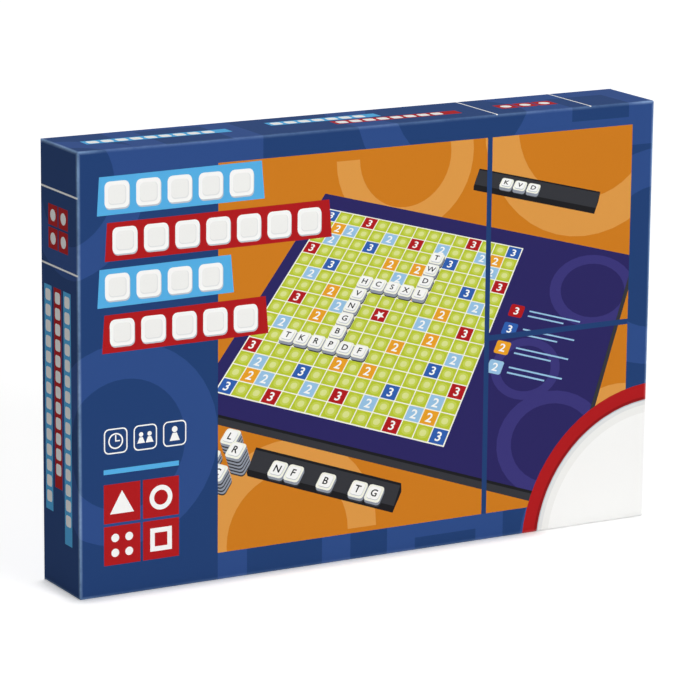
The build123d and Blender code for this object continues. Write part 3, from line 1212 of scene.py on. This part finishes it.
class NodeBench:
    """Adds and wires shader nodes in one tree."""

    def __init__(self, tree: bpy.types.NodeTree) -> None:
        """Works on that tree."""
        self.tree = tree

    def find(self, kind: str) -> bpy.types.Node:
        """The tree's first node of a type."""
        return next(n for n in self.tree.nodes if n.type == kind)

    def set(self, node: bpy.types.Node, **values: object) -> None:
        """Sets a node's properties, and then its inputs.

        Args:
            node: The node.
            values: Properties by name, and inputs by name with _ for a space, or by in_ and a number.
                A signal as value is linked.
        """
        inputs = {}
        for key, value in values.items():
            if hasattr(node, key):
                setattr(node, key, value)
            else:
                inputs[key.removeprefix("in_").replace("_", " ")] = value
        for label, value in inputs.items():
            socket = node.inputs[int(label) if label.isdigit() else label]
            if isinstance(value, Signal):
                self.tree.links.new(value.socket, socket)
            else:
                socket.default_value = value

    def add(self, kind: str, **values: object) -> bpy.types.Node:
        """Adds a node.

        Args:
            kind: Blender's name of the node type.
            values: Its properties and inputs, as in set.

        Returns:
            The node.
        """
        node = self.tree.nodes.new(kind)
        self.set(node, **values)
        return node

    def out(self, kind: str, output: str | int, **values: object) -> Signal:
        """Adds a node and gives one of its outputs."""
        return Signal(self, self.add(kind, **values).outputs[output])

    def group(self, tree: bpy.types.NodeTree, **values: object) -> dict[str, Signal]:
        """Adds a shared group and gives its outputs by their names."""
        node = self.add("ShaderNodeGroup", node_tree=tree, **values)
        return {socket.name: Signal(self, socket) for socket in node.outputs}

    def math(self, operation: str, a: Signal | float, b: Signal | float = 0.0) -> Signal:
        """Adds a Math node."""
        return self.out("ShaderNodeMath", 0, operation=operation, in_0=a, in_1=b)

    def mix(self, blend: str, share: object, a: object, b: object) -> Signal:
        """Adds a colour Mix node."""
        return self.out("ShaderNodeMix", 2, data_type="RGBA", blend_type=blend, in_0=share, in_6=a, in_7=b)

    def where(self) -> Signal:
        """Place on the piece, in metres."""
        return self.out("ShaderNodeTexCoord", "Object")

    def parts(self, where: Signal) -> list[Signal]:
        """The three parts of a place."""
        node = self.add("ShaderNodeSeparateXYZ", Vector=where)
        return [Signal(self, socket) for socket in node.outputs]

    def noise(self, where: Signal, scale: Signal | float, detail: float) -> Signal:
        """Adds a Noise Texture."""
        return self.out("ShaderNodeTexNoise", "Fac", Scale=scale, Detail=detail, Vector=where)


class Effects:
    """Shader groups that several finishes share, each built once."""

    def __init__(self) -> None:
        """Builds the groups."""
        self.paper = self._paper()
        self.wear_and_highlight = self._wear_and_highlight()
        self.mould = self._mould()
        self.linen = self._linen()

    @staticmethod
    def _start(
        name: str, inputs: Sequence[str], outputs: Sequence[str]
    ) -> tuple[NodeBench, dict[str, Signal]]:
        """Makes an empty group with value sockets.

        Args:
            name: The group's name.
            inputs: Input names.
            outputs: Output names.

        Returns:
            A bench on the group, and its inputs by their names.
        """
        tree = bpy.data.node_groups.new(name, "ShaderNodeTree")
        for way, labels in (("INPUT", inputs), ("OUTPUT", outputs)):
            for label in labels:
                tree.interface.new_socket(label, in_out=way, socket_type="NodeSocketFloat")
        bench = NodeBench(tree)
        given = bench.add("NodeGroupInput").outputs
        return bench, {label: Signal(bench, given[label]) for label in inputs}

    def _paper(self) -> bpy.types.NodeTree:
        """Paper: tone, roughness drift and fibre height.

        Returns:
            The group.
        """
        bench, given = self._start("PaperGrain", ("Fibre", "Drift"), ("Tone", "Rough", "Height"))
        where = bench.where()
        broad = bench.noise(where, scale=9.0, detail=3.0)
        fine = bench.noise(where, scale=given["Fibre"], detail=4.0)
        speck = bench.noise(where, scale=2600.0, detail=2.0)
        tone = 1.0 + (broad + fine * 0.6 - 0.8) * given["Drift"]
        rough = broad * 0.6 + speck * 0.4 - 0.5
        bench.add("NodeGroupOutput", Tone=tone, Rough=rough, Height=fine * 0.7 + speck * 0.3)
        return bench.tree

    def _wear_and_highlight(self) -> bpy.types.NodeTree:
        """Rubbed edges of an upright box with a painted highlight along them, from the place on it.

        Returns:
            The group.
        """
        bench, given = self._start("EdgeWearAndHighlight", WEAR_AND_HIGHLIGHT_INPUTS, ("Mask",))
        where = bench.where()
        x, y, z = bench.parts(where)
        side = given["Half Width"] - bench.math("ABSOLUTE", x)
        level = bench.math("MINIMUM", z - given["Low"], given["High"] - z)
        run = (y - given["Panel"]) * given["Inward"]
        least = bench.math("MINIMUM", side, level)
        most = bench.math("MAXIMUM", side, level)
        second = bench.math("MAXIMUM", least, bench.math("MINIMUM", most, run))
        # Mask of edge wear and a painted highlight, strongest on the rounded edge itself
        near = (1.0 - second / given["Reach"]).clamped()
        patch = bench.noise(where, scale=38.0, detail=5.0)
        grit = bench.noise(where, scale=420.0, detail=3.0)
        patchy = ((patch + grit * 0.35 - 0.2) * 1.6).clamped()
        # Weaker along the level edges, where the painted highlight is fainter
        along = (side / (given["Reach"] * 8.0)).clamped()
        strength = given["Amount"] * (1.0 - along * given["Long Ease"])
        bench.add("NodeGroupOutput", Mask=(near * patchy * strength).clamped())
        return bench.tree

    def _mould(self) -> bpy.types.NodeTree:
        """Moulded plastic: flow tone, fine spark height and faint scuffs.

        Returns:
            The group.
        """
        bench, given = self._start("MouldGrain", ("Grain", "Drift"), ("Tone", "Rough", "Height"))
        where = bench.where()
        flow = bench.noise(where, scale=24.0, detail=3.0)
        grain = bench.noise(where, scale=given["Grain"], detail=2.0)
        stretch = bench.out("ShaderNodeMapping", 0, Vector=where, Scale=(60.0, 900.0, 260.0))
        scuff = bench.noise(stretch, scale=1.0, detail=4.0)
        tone = 1.0 + (flow - 0.5) * given["Drift"]
        rough = scuff - 0.5 + (grain - 0.5) * 0.4
        bench.add("NodeGroupOutput", Tone=tone, Rough=rough, Height=grain * 0.8 + scuff * 0.2)
        return bench.tree

    def _linen(self) -> bpy.types.NodeTree:
        """Linen emboss: two crossing threads with uneven weight.

        Returns:
            The group.
        """
        bench, given = self._start("LinenEmboss", ("Threads", "Uneven"), ("Height", "Tone"))
        where = bench.where()
        x, _, z = bench.parts(where)
        slub = bench.noise(where, scale=220.0, detail=3.0)
        shift = slub * (given["Uneven"] * 6.0)
        waves = [bench.math("SINE", axis * (given["Threads"] * FULL_TURN) + shift) for axis in (x, z)]
        height = 0.5 + (waves[0] + waves[1]) * 0.25
        bench.add("NodeGroupOutput", Height=height, Tone=0.88 + (height + slub) * 0.12)
        return bench.tree


@dataclass(frozen=True)
class Finish:
    """What every surface finish has: a name, a gloss and a relief."""

    name: str
    roughness: float
    rough_swing: float = 0.12
    relief: float = 0.1
    relief_depth: float = 0.0001
    specular: float = 0.5

    def layers(self, bench: NodeBench, effects: Effects) -> tuple[Signal, Signal, Signal]:
        """Base colour, roughness drift about zero and relief, which each finish makes its own way."""
        raise NotImplementedError

    def build(self, effects: Effects) -> bpy.types.Material:
        """Makes the material.

        Args:
            effects: The shared groups.

        Returns:
            The material.
        """
        material = bpy.data.materials.new(self.name)
        material.use_nodes = True
        bench = NodeBench(material.node_tree)
        shader = bench.find("BSDF_PRINCIPLED")
        colour, rough, height = self.layers(bench, effects)
        level = (self.roughness + rough * self.rough_swing).clamped()
        depth = self.relief_depth
        bump = bench.out("ShaderNodeBump", "Normal", Strength=self.relief, Distance=depth, Height=height)
        bench.set(shader, Specular_IOR_Level=self.specular, Base_Color=colour, Roughness=level, Normal=bump)
        return material


@dataclass(frozen=True)
class PrintedPaper(Finish):
    """Laminated print whose colour lies on the mesh, with rubbed edges and a painted edge highlight on a box.
    """

    fibre: float = 800.0
    drift: float = 0.05
    linen: float = 0.0
    uneven: float = 0.3
    fibre_under_linen: float = 0.3
    # Inputs of the edge wear with its painted highlight, and the gamma of the lighter copy that they lean
    # towards
    wear_and_highlight: dict[str, float] = field(default_factory=dict)
    lightening_gamma: float = 0.35

    def layers(self, bench: NodeBench, effects: Effects) -> tuple[Signal, Signal, Signal]:
        """Print over paper grain, rubbed and embossed where that is set; the rub paints a highlight along the
        edges too.

        Args:
            bench: Bench on the material's nodes.
            effects: The shared groups.

        Returns:
            Base colour, roughness drift and relief.
        """
        ink = bench.out("ShaderNodeAttribute", "Color", attribute_name="ink")
        paper = bench.group(effects.paper, Fibre=self.fibre, Drift=self.drift)
        colour = bench.mix("MULTIPLY", 1.0, ink, paper["Tone"])
        height = paper["Height"]
        # Edge wear and a painted highlight along the box's edges: the print screened towards a lighter copy
        # of itself
        if self.wear_and_highlight:
            mask = bench.group(effects.wear_and_highlight, **self.wear_and_highlight)["Mask"]
            lightened = bench.out("ShaderNodeGamma", 0, Color=colour, Gamma=self.lightening_gamma)
            colour = bench.mix("SCREEN", mask, colour, lightened)
        if self.linen:
            weave = bench.group(effects.linen, Threads=self.linen, Uneven=self.uneven)
            height = height * self.fibre_under_linen + weave["Height"]
        return colour, paper["Rough"], height


@dataclass(frozen=True)
class PlainPaper(Finish):
    """Unprinted paper or board, with fibres and flecks."""

    colour: Colour = (0.5, 0.5, 0.5)
    fibre: float = 520.0
    drift: float = 0.2
    fleck: Colour = (0.2, 0.2, 0.2)
    fleck_share: float = 0.2
    fleck_scale: float = 760.0
    fleck_from: float = 0.56
    fleck_edge: float = 9.0

    def layers(self, bench: NodeBench, effects: Effects) -> tuple[Signal, Signal, Signal]:
        """Flecks over paper grain.

        Args:
            bench: Bench on the material's nodes.
            effects: The shared groups.

        Returns:
            Base colour, roughness drift and relief.
        """
        paper = bench.group(effects.paper, Fibre=self.fibre, Drift=self.drift)
        spots = bench.noise(bench.where(), scale=self.fleck_scale, detail=6.0)
        mask = ((spots - self.fleck_from) * self.fleck_edge).clamped() * self.fleck_share
        body = bench.mix("MIX", mask, (*self.colour, 1.0), (*self.fleck, 1.0))
        return bench.mix("MULTIPLY", 1.0, body, paper["Tone"]), paper["Rough"], paper["Height"]


@dataclass(frozen=True)
class LinenPaper(Finish):
    """Dark paper embossed like linen, or linen itself."""

    colour: Colour = (0.02, 0.02, 0.02)
    threads: float = 1500.0
    uneven: float = 0.4
    fibre: float = 700.0
    drift: float = 0.25

    def layers(self, bench: NodeBench, effects: Effects) -> tuple[Signal, Signal, Signal]:
        """Threads over paper grain.

        Args:
            bench: Bench on the material's nodes.
            effects: The shared groups.

        Returns:
            Base colour, roughness drift and relief.
        """
        weave = bench.group(effects.linen, Threads=self.threads, Uneven=self.uneven)
        paper = bench.group(effects.paper, Fibre=self.fibre, Drift=self.drift)
        colour = bench.mix("MULTIPLY", 1.0, (*self.colour, 1.0), weave["Tone"] * paper["Tone"])
        return colour, paper["Rough"], weave["Height"]


@dataclass(frozen=True)
class MouldedPlastic(Finish):
    """Moulded or formed plastic."""

    colour: Colour = (0.8, 0.8, 0.8)
    grain: float = 1400.0
    drift: float = 0.06

    def layers(self, bench: NodeBench, effects: Effects) -> tuple[Signal, Signal, Signal]:
        """Plain colour with the mould's grain.

        Args:
            bench: Bench on the material's nodes.
            effects: The shared groups.

        Returns:
            Base colour, roughness drift and relief.
        """
        mould = bench.group(effects.mould, Grain=self.grain, Drift=self.drift)
        colour = bench.mix("MULTIPLY", 1.0, (*self.colour, 1.0), mould["Tone"])
        return colour, mould["Rough"], mould["Height"]


class FinishCase:
    """All finishes of the game, built once."""

    # Reach and strength of the rubbed edges, which carry a painted highlight as well as wear
    wear_and_highlight_reach = 0.0021
    wear_and_highlight_long_ease = 0.73
    lid_wear_and_highlight = 1.35
    tray_wear_and_highlight = 1.1

    def __init__(self) -> None:
        """Builds every material, in a fixed order."""
        lid = self.wear_and_highlight_of("lid_wrap", 1, self.lid_wear_and_highlight)
        tray = self.wear_and_highlight_of("tray_wrap", -1, self.tray_wear_and_highlight)
        finishes = {
            "lid_print": PrintedPaper("lid_laminate", 1.0, relief=0.08, specular=0.19, wear_and_highlight=lid),
            "tray_paper": PrintedPaper("tray_laminate", 1.0, relief=0.1, specular=0.19, wear_and_highlight=tray),
            "board_print": PrintedPaper(
                "board_laminate", 0.4, relief=0.16, relief_depth=0.00012, specular=0.15, linen=900.0
            ),
            "leaflet_print": PrintedPaper("leaflet_print", 0.7, relief=0.2, drift=0.08),
            "greyboard": PlainPaper(
                "greyboard", 0.85, relief=0.35, relief_depth=0.0002, specular=0.25,
                colour=linear("9a948a"), fleck=linear("6a655d"), fleck_share=0.55, drift=0.28,
            ),
            "kraft": PlainPaper(
                "kraft_tape", 0.7, relief=0.25, specular=0.3,
                colour=linear("a98757"), fleck=linear("7d5f38"), fleck_share=0.4,
            ),
            "leaflet": PlainPaper(
                "leaflet_paper", 0.75, relief=0.2, specular=0.3,
                colour=linear("efeee8"), fleck=linear("d9d6cc"), fleck_share=0.3, drift=0.06,
            ),
            "liner": LinenPaper(
                "board_liner", 0.62, relief=0.5, relief_depth=0.00015, specular=0.4, colour=linear("232327")
            ),
            "linen": LinenPaper(
                "hinge_linen", 0.85, relief=0.8, relief_depth=0.0002, colour=linear("2a2a2e"), threads=1100.0
            ),
            "tile": MouldedPlastic("tile_plastic", 0.3, relief=0.06, colour=linear("eceae4"), drift=0.04),
            "rack": MouldedPlastic(
                "rack_plastic", 0.34, relief=0.2, colour=linear("1c1c1f"), grain=1900.0, drift=0.3
            ),
            "insert": MouldedPlastic(
                "insert_sheet", 0.45, relief=0.2, colour=linear("8b95a3"), grain=800.0, drift=0.12
            ),
            "letter": PlainPaper("letter_ink", 0.45, colour=linear("1d1d20"), fleck=linear("2e2e32")),
        }
        effects = Effects()
        self._made = {use: finish.build(effects) for use, finish in finishes.items()}

    def __getitem__(self, use: str) -> bpy.types.Material:
        """The material for a use."""
        return self._made[use]

    def wear_and_highlight_of(self, node: str, inward: int, amount: float) -> dict[str, float]:
        """Values of the rubbed edges and their painted highlight for one shell.

        Args:
            node: The shell's wrap.
            inward: +1 where the shell runs back from its panel, and -1 where it runs forward.
            amount: Strength of the rub and its painted highlight.

        Returns:
            The inputs of the rub group.
        """
        low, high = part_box(node)
        panel = low[1] if inward > 0 else high[1]
        sizes = ((high[0] - low[0]) / 2, low[2], high[2], panel)
        return dict(zip(WEAR_AND_HIGHLIGHT_INPUTS, (*sizes, float(inward), self.wear_and_highlight_reach, amount, self.wear_and_highlight_long_ease)))


@dataclass
class GameBox:
    """The lid and the tray: greyboard inside, printed paper outside."""

    finishes: FinishCase
    boards: tuple[str, ...] = ("panel", "top_wall", "bottom_wall", "left_wall", "right_wall")

    def build(self) -> None:
        """Makes both wraps and dresses the boards and the tapes."""
        lid = PaperWrap("lid_wrap", "lid", "lid_print", 1)
        cover = lid.sheet()
        CoverPrint(cover, lid.half, lid.height, lid.depth).lay()
        lid.build(cover, self.finishes["lid_print"])
        tray = PaperWrap("tray_wrap", "tray", "tray_paper", -1)
        back = tray.sheet()
        BackPrint(back).lay()
        tray.build(back, self.finishes["tray_paper"])
        for shell in ("lid", "tray"):
            for place in self.boards:
                dress_node(f"{shell}_{place}", self.finishes["greyboard"])
            dress_node(f"{shell}_corner_stays", self.finishes["kraft"])


@dataclass
class FoldingBoard:
    """The game board: printed sheets on two halves, dark liner and linen hinge."""

    finishes: FinishCase
    plan: BoardPlan = field(default_factory=BoardPlan)
    flat_margin: float = 20.0
    flat_low: float = 40.0
    edge_strips: FlatStrips = FlatStrips(left=0.01, right=0.9, low=0.005, height=0.008, pitch=0.012)
    back_patch: Rect = (0.01, 0.06, 0.06, 0.09)

    def build(self) -> None:
        """Makes the printed sheets and dresses the rest."""
        self.build_face("back_half", 1)
        self.build_face("front_half", -1)
        for half in ("back_half", "front_half"):
            dress_node(f"board_{half}_core", self.finishes["greyboard"])
            dress_node(f"board_{half}_liner", self.finishes["liner"])
            dress_node(f"board_{half}_hinge_strip", self.finishes["linen"])

    def build_face(self, half: str, side: int) -> None:
        """Makes one printed sheet.

        Args:
            half: Which half it belongs to.
            side: +1 for the half behind the fold, whose print faces the front, and -1 for the other.
        """
        node = f"board_{half}_face"
        low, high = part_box(node)
        printed, back = (low[1], high[1]) if side > 0 else (high[1], low[1])
        facing = Vector((0, -side, 0))
        reach = self.plan.length / 2
        start = 0.0 if side > 0 else reach
        across = self.plan.width / 2
        sheet = InkSheet()
        sheet.bar(-across, start, across, start + reach, Ink.NAVY)
        sheet.window = (-across, start, across, start + reach)
        self.plan.lay(sheet, lambda x, y: (-y, x + reach))

        def place(p: Vector) -> tuple[Vector, Vector]:
            """Place and facing of a point of the sheet."""
            level = low[2] + p.y * MM if side > 0 else high[2] - (p.y - reach) * MM
            return Vector((p.x * MM, printed, level)), facing

        maker = MeshMaker(f"{node}_print")
        span = self.plan.width + self.flat_margin
        flat_low = self.flat_low
        maker.add_sheet(sheet, place, lambda p: ((p.x + span / 2) / span, (p.y - start + flat_low) / span))
        corners = [(low[0], low[2]), (high[0], low[2]), (high[0], high[2]), (low[0], high[2])]
        for i, outward in enumerate(((0, 0, -1), (1, 0, 0), (0, 0, 1), (-1, 0, 0))):
            (ax, az), (bx, bz) = corners[i], corners[(i + 1) % 4]
            edge = ((ax, printed, az), (bx, printed, bz), (bx, back, bz), (ax, back, az))
            maker.add_quad([Vector(p) for p in edge], Vector(outward), Ink.LINE, self.edge_strips.strip(i))
        maker.add_quad([Vector((x, back, z)) for x, z in corners], -facing, Ink.LINE, self.back_patch)
        made = maker.finish([self.finishes["board_print"]])
        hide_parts(node)
        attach(made, f"board_{half}")


@dataclass
class LetterTiles:
    """White tiles in stacks, with a letter on each stack's top tile."""

    finishes: FinishCase
    side: float = 18.5
    height: float = 4.3
    corner: float = 3.2
    edge: float = 0.6
    pad: float = 14.0
    pad_height: float = 1.2
    pad_corner: float = 3.0
    pad_edge: float = 0.5
    nest_gap: float = 0.25
    edge_middle: float = 0.3
    corner_steps: int = 5
    pitch: float = 18.8
    stack_pitch: float = 4.35
    layers: int = 5
    rows: int = 2
    columns: int = 6
    letter: float = 8.6
    sharp: float = 50.0
    signs: str = "EAITNROSLDCUKPGBHVFYJXQZ"

    def loops(self) -> list[tuple[float, float, float]]:
        """Loops of a tile, from the hollow below to the pad's top.

        Returns:
            Side, corner radius and height of each loop.
        """
        nest = self.pad + 2 * self.nest_gap
        soft, pad_soft = self.edge_middle * self.edge, self.edge_middle * self.pad_edge
        top = self.height + self.pad_height
        shapes = [(nest, self.pad_corner, self.pad_height + self.nest_gap), (nest, self.pad_corner, 0.0)]
        foot = ((self.edge, 0.0), (soft, soft), (0.0, self.edge))
        head = tuple((inset, self.height - drop) for inset, drop in foot[::-1])
        for inset, level in foot + head:
            shapes.append((self.side - 2 * inset, self.corner - inset, level))
        pad_top = ((pad_soft, top - pad_soft), (self.pad_edge, top))
        for inset, level in ((0.0, self.height), (0.0, top - self.pad_edge)) + pad_top:
            shapes.append((self.pad - 2 * inset, self.pad_corner - inset, level))
        return shapes

    def add_tile(self, maker: MeshMaker, x: float, foot: float, z: float) -> None:
        """Adds one tile, its pad towards the front.

        Args:
            maker: The mesh to add to.
            x: Middle across, in millimetres.
            foot: Where its foot lies along Y.
            z: Middle up.
        """
        starts = []
        for side, corner, level in self.loops():
            ring = rounded_square(x, z, side, corner, self.corner_steps)
            starts.append(maker.add_points([(Vector((px, foot - level, pz)) * MM, None) for px, pz in ring]))
        count = len(ring)
        maker.add_face([starts[0] + i for i in range(count)])
        for a, b in zip(starts, starts[1:]):
            for i in range(count):
                j = (i + 1) % count
                maker.add_face([a + i, a + j, b + j, b + i])
        maker.add_face([starts[-1] + i for i in range(count)])

    def add_sign(self, maker: MeshMaker, sign: str, x: float, y: float, z: float) -> None:
        """Adds one printed letter on a pad.

        Args:
            maker: The mesh to add to.
            sign: The letter.
            x: Middle across, in millimetres.
            y: Where it lies along Y.
            z: Middle up.
        """
        size = self.letter
        for face in GLYPHS.triangles(sign):
            spots = [(Vector((x + px * size, y, z + pz * size)) * MM, FRONT) for px, pz in face]
            start = maker.add_points(spots)
            maker.add_face(list(range(start, start + len(face))), slot=1)

    def build(self) -> None:
        """Makes every column of stacks and lets it stand for its solid."""
        for (number, well), column in product(enumerate(("lower", "upper")), range(self.columns)):
            node = f"tiles_{well}_{column + 1}"
            low, high = box_mm(node)
            x = (low.x + high.x) / 2
            maker = MeshMaker(f"{node}_set")
            for row in range(self.rows):
                z = low.z + self.side / 2 + row * self.pitch
                for layer in range(self.layers):
                    self.add_tile(maker, x, high.y - layer * self.stack_pitch, z)
                index = (number * self.rows + row) * self.columns + column
                self.add_sign(maker, self.signs[index], x, low.y - PRINT_LIFT, z)
            made = maker.finish([self.finishes["tile"], self.finishes["letter"]], self.sharp)
            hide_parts(node)
            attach(made, f"tiles_{well}")


@dataclass
class InsideFittings:
    """The formed insert, the racks and the rules leaflet with its print, in millimetres but for bend."""

    finishes: FinishCase
    racks: int = 4
    bend: float = 0.0007
    bend_angle: float = 60.0
    margin: float = 4.0
    text_left: float = 14.0
    # Levels below the leaflet's top, and how far before its right edge the rule ends
    band_low: float = 34.0
    band_high: float = 12.0
    rule_low: float = 38.0
    rule_end: float = 40.0
    head_squares: int = 4
    head_step: float = 20.0
    head_square: Pair = (15.0, 3.0)
    grid: int = 5
    grid_low: float = 102.0
    grid_pitch: float = 11.0
    grid_cell: float = 10.0
    # Left end, lowest level, pitch, thickness, shortening and number of each block of ruled lines
    texts: tuple = ((78.0, 105.0, 11.0, 2.5, 9.0, 5), (14.0, 16.0, 8.6, 2.2, 11.0, 9))

    def build(self) -> None:
        """Dresses the insert, the racks and the leaflet."""
        insert = dress_node("insert", self.finishes["insert"])
        soften = insert.modifiers.new("formed_edges", "BEVEL")
        soften.width = self.bend
        soften.segments = 2
        soften.limit_method = "ANGLE"
        soften.angle_limit = math.radians(self.bend_angle)
        soften.harden_normals = False
        for index in range(self.racks):
            dress_node(f"rack_{index + 1}", self.finishes["rack"])
        dress_node("rules_leaflet", self.finishes["leaflet"])
        self.build_leaflet_print()

    def build_leaflet_print(self) -> None:
        """Prints a plain diagram and rules on the leaflet's front."""
        low, high = box_mm("rules_leaflet")
        width, height = high.x - low.x, high.z - low.z
        left, right = self.margin, width - self.margin
        sheet = InkSheet()
        sheet.bar(left, self.margin, right, height - self.margin, Ink.WHITE)
        sheet.bar(left, height - self.band_low, right, height - self.band_high, Ink.SKY)
        sheet.bar(left, height - self.rule_low, width - self.rule_end, height - self.band_low, Ink.RED)
        middle = height - (self.band_low + self.band_high) / 2
        step = (self.head_step, 0.0)
        sheet.row((self.head_step, middle), step, self.head_squares, self.head_square, Ink.WHITE)
        for row, column in product(range(self.grid), repeat=2):
            ink = Ink.AMBER if (row + 2 * column) % self.grid == 0 else Ink.LIME
            x, y = self.text_left + self.grid_pitch * column, self.grid_low + self.grid_pitch * row
            sheet.bar(x, y, x + self.grid_cell, y + self.grid_cell, ink)
        for start, level, pitch, thickness, shorter, count in self.texts:
            for row in range(count):
                end = width - self.text_left - shorter * (row % 3)
                sheet.bar(start, level + pitch * row, end, level + thickness + pitch * row, Ink.GREY)
        maker = MeshMaker("rules_leaflet_print")
        maker.add_sheet(
            sheet,
            lambda p: (Vector((low.x + p.x, low.y - PRINT_LIFT, low.z + p.y)) * MM, FRONT),
            lambda p: (p.x / height, p.y / height),
        )
        made = maker.finish([self.finishes["leaflet_print"]])
        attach(made, "leaflet")


@dataclass
class Studio:
    """Camera, light and pale floor."""

    azimuth: float = -0.5169
    elevation: float = 0.2336
    roll: float = 0.0099
    distance: float = 2.3731
    target: tuple[float, float, float] = (-0.00344, 0.0, 0.12612)
    focal_pixels: float = 3858.6
    frame_pixels: float = 700.0
    sensor: float = 36.0
    clip_end: float = 50.0
    # Name, strength, angle across and direction of each lamp
    lamps: tuple[tuple[str, float, float, tuple[float, float, float]], ...] = (
        ("front", 2.8, 30.0, (0.34, -0.935, 0.1)),
        ("overhead", 1.45, 3.0, (0.016, 0.018, 1.0)),
        ("behind", 1.0, 40.0, (-0.15, 0.97, 0.18)),
    )
    ambient: float = 0.15
    floor_reach: float = 14.0
    floor_roughness: float = 0.9
    floor_bounced: float = 0.64
    floor_shown: float = 0.98
    floor_lift: float = 0.31

    def build(self) -> None:
        """Sets the camera, the lamps, the world and the floor."""
        self.build_camera()
        self.build_light()
        self.build_floor()
        bpy.context.scene.view_settings.view_transform = "Standard"

    def build_camera(self) -> None:
        """Sets the camera at the photograph's viewing angle."""
        level = math.cos(self.elevation)
        across, away = math.sin(self.azimuth) * level, -math.cos(self.azimuth) * level
        back = Vector((across, away, math.sin(self.elevation)))
        right = (-back).cross(Vector((0, 0, 1))).normalized()
        up = back.cross(right)
        cosine, sine = math.cos(self.roll), math.sin(self.roll)
        right, up = cosine * right + sine * up, cosine * up - sine * right
        data = bpy.data.cameras.new("camera")
        data.sensor_width = self.sensor
        data.sensor_fit = "HORIZONTAL"
        data.lens = self.sensor * self.focal_pixels / self.frame_pixels
        data.clip_end = self.clip_end
        camera = bpy.data.objects.new("camera", data)
        place = Vector(self.target) + back * self.distance
        camera.matrix_world = Matrix.Translation(place) @ Matrix((right, up, back)).transposed().to_4x4()
        bpy.context.scene.collection.objects.link(camera)
        bpy.context.scene.camera = camera

    def build_light(self) -> None:
        """Sets a broad lamp before the box, one overhead, a weak one behind and a pale world."""
        for name, energy, angle, toward in self.lamps:
            data = bpy.data.lights.new(name, "SUN")
            data.energy = energy
            data.angle = math.radians(angle)
            lamp = bpy.data.objects.new(name, data)
            lamp.matrix_world = Vector(toward).to_track_quat("Z", "Y").to_matrix().to_4x4()
            bpy.context.scene.collection.objects.link(lamp)
        world = bpy.data.worlds.new("studio")
        world.use_nodes = True
        bench = NodeBench(world.node_tree)
        strength = self.seen_rays(bench) * (1.0 - self.ambient) + self.ambient
        bench.set(bench.find("BACKGROUND"), Strength=strength, Color=PURE_WHITE)
        bpy.context.scene.world = world

    def seen_rays(self, bench: NodeBench) -> Signal:
        """Puts out 1 for the rays that see the white surroundings: camera, glossy and transmission rays.

        Args:
            bench: Bench on the world's or the floor's nodes.

        Returns:
            The signal.
        """
        path = bench.add("ShaderNodeLightPath").outputs
        camera, glossy, through = (
            Signal(bench, path[f"Is {kind} Ray"]) for kind in ("Camera", "Glossy", "Transmission")
        )
        return (camera + (glossy + through).clamped()).clamped()

    def build_floor(self) -> None:
        """Lays the pale floor, which keeps the shadow."""
        reach = self.floor_reach
        corners = [(-reach, -reach, 0), (reach, -reach, 0), (reach, reach, 0), (-reach, reach, 0)]
        mesh = bpy.data.meshes.new("floor")
        mesh.from_pydata(corners, [], [(0, 1, 2, 3)])
        floor = bpy.data.objects.new("floor", mesh)
        bpy.context.scene.collection.objects.link(floor)
        material = bpy.data.materials.new("floor")
        material.use_nodes = True
        bench = NodeBench(material.node_tree)
        seen = self.seen_rays(bench)
        bounced, shown = ((tone, tone, tone, 1.0) for tone in (self.floor_bounced, self.floor_shown))
        bench.set(
            bench.find("BSDF_PRINCIPLED"),
            Base_Color=bench.mix("MIX", seen, bounced, shown),
            Roughness=self.floor_roughness,
            Specular_IOR_Level=0.0,
            Emission_Color=PURE_WHITE,
            Emission_Strength=seen * self.floor_lift,
        )
        mesh.materials.append(material)


def dress_node(node: str, material: bpy.types.Material) -> bpy.types.Object:
    """Gives one solid its finish.

    Args:
        node: The solid's name.
        material: Its finish.

    Returns:
        The solid's object.
    """
    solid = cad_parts[node]
    solid.data.materials.clear()
    solid.data.materials.append(material)
    log.info("%s dressed with %s", node, material.name)
    return solid


def main() -> None:
    """Builds the game's sub-assemblies in order."""
    logging.basicConfig(level=logging.INFO, format="%(name)s: %(message)s")
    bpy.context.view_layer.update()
    finishes = FinishCase()
    GameBox(finishes).build()
    FoldingBoard(finishes).build()
    LetterTiles(finishes).build()
    InsideFittings(finishes).build()
    Studio().build()


if __name__ == "__main__":
    main()
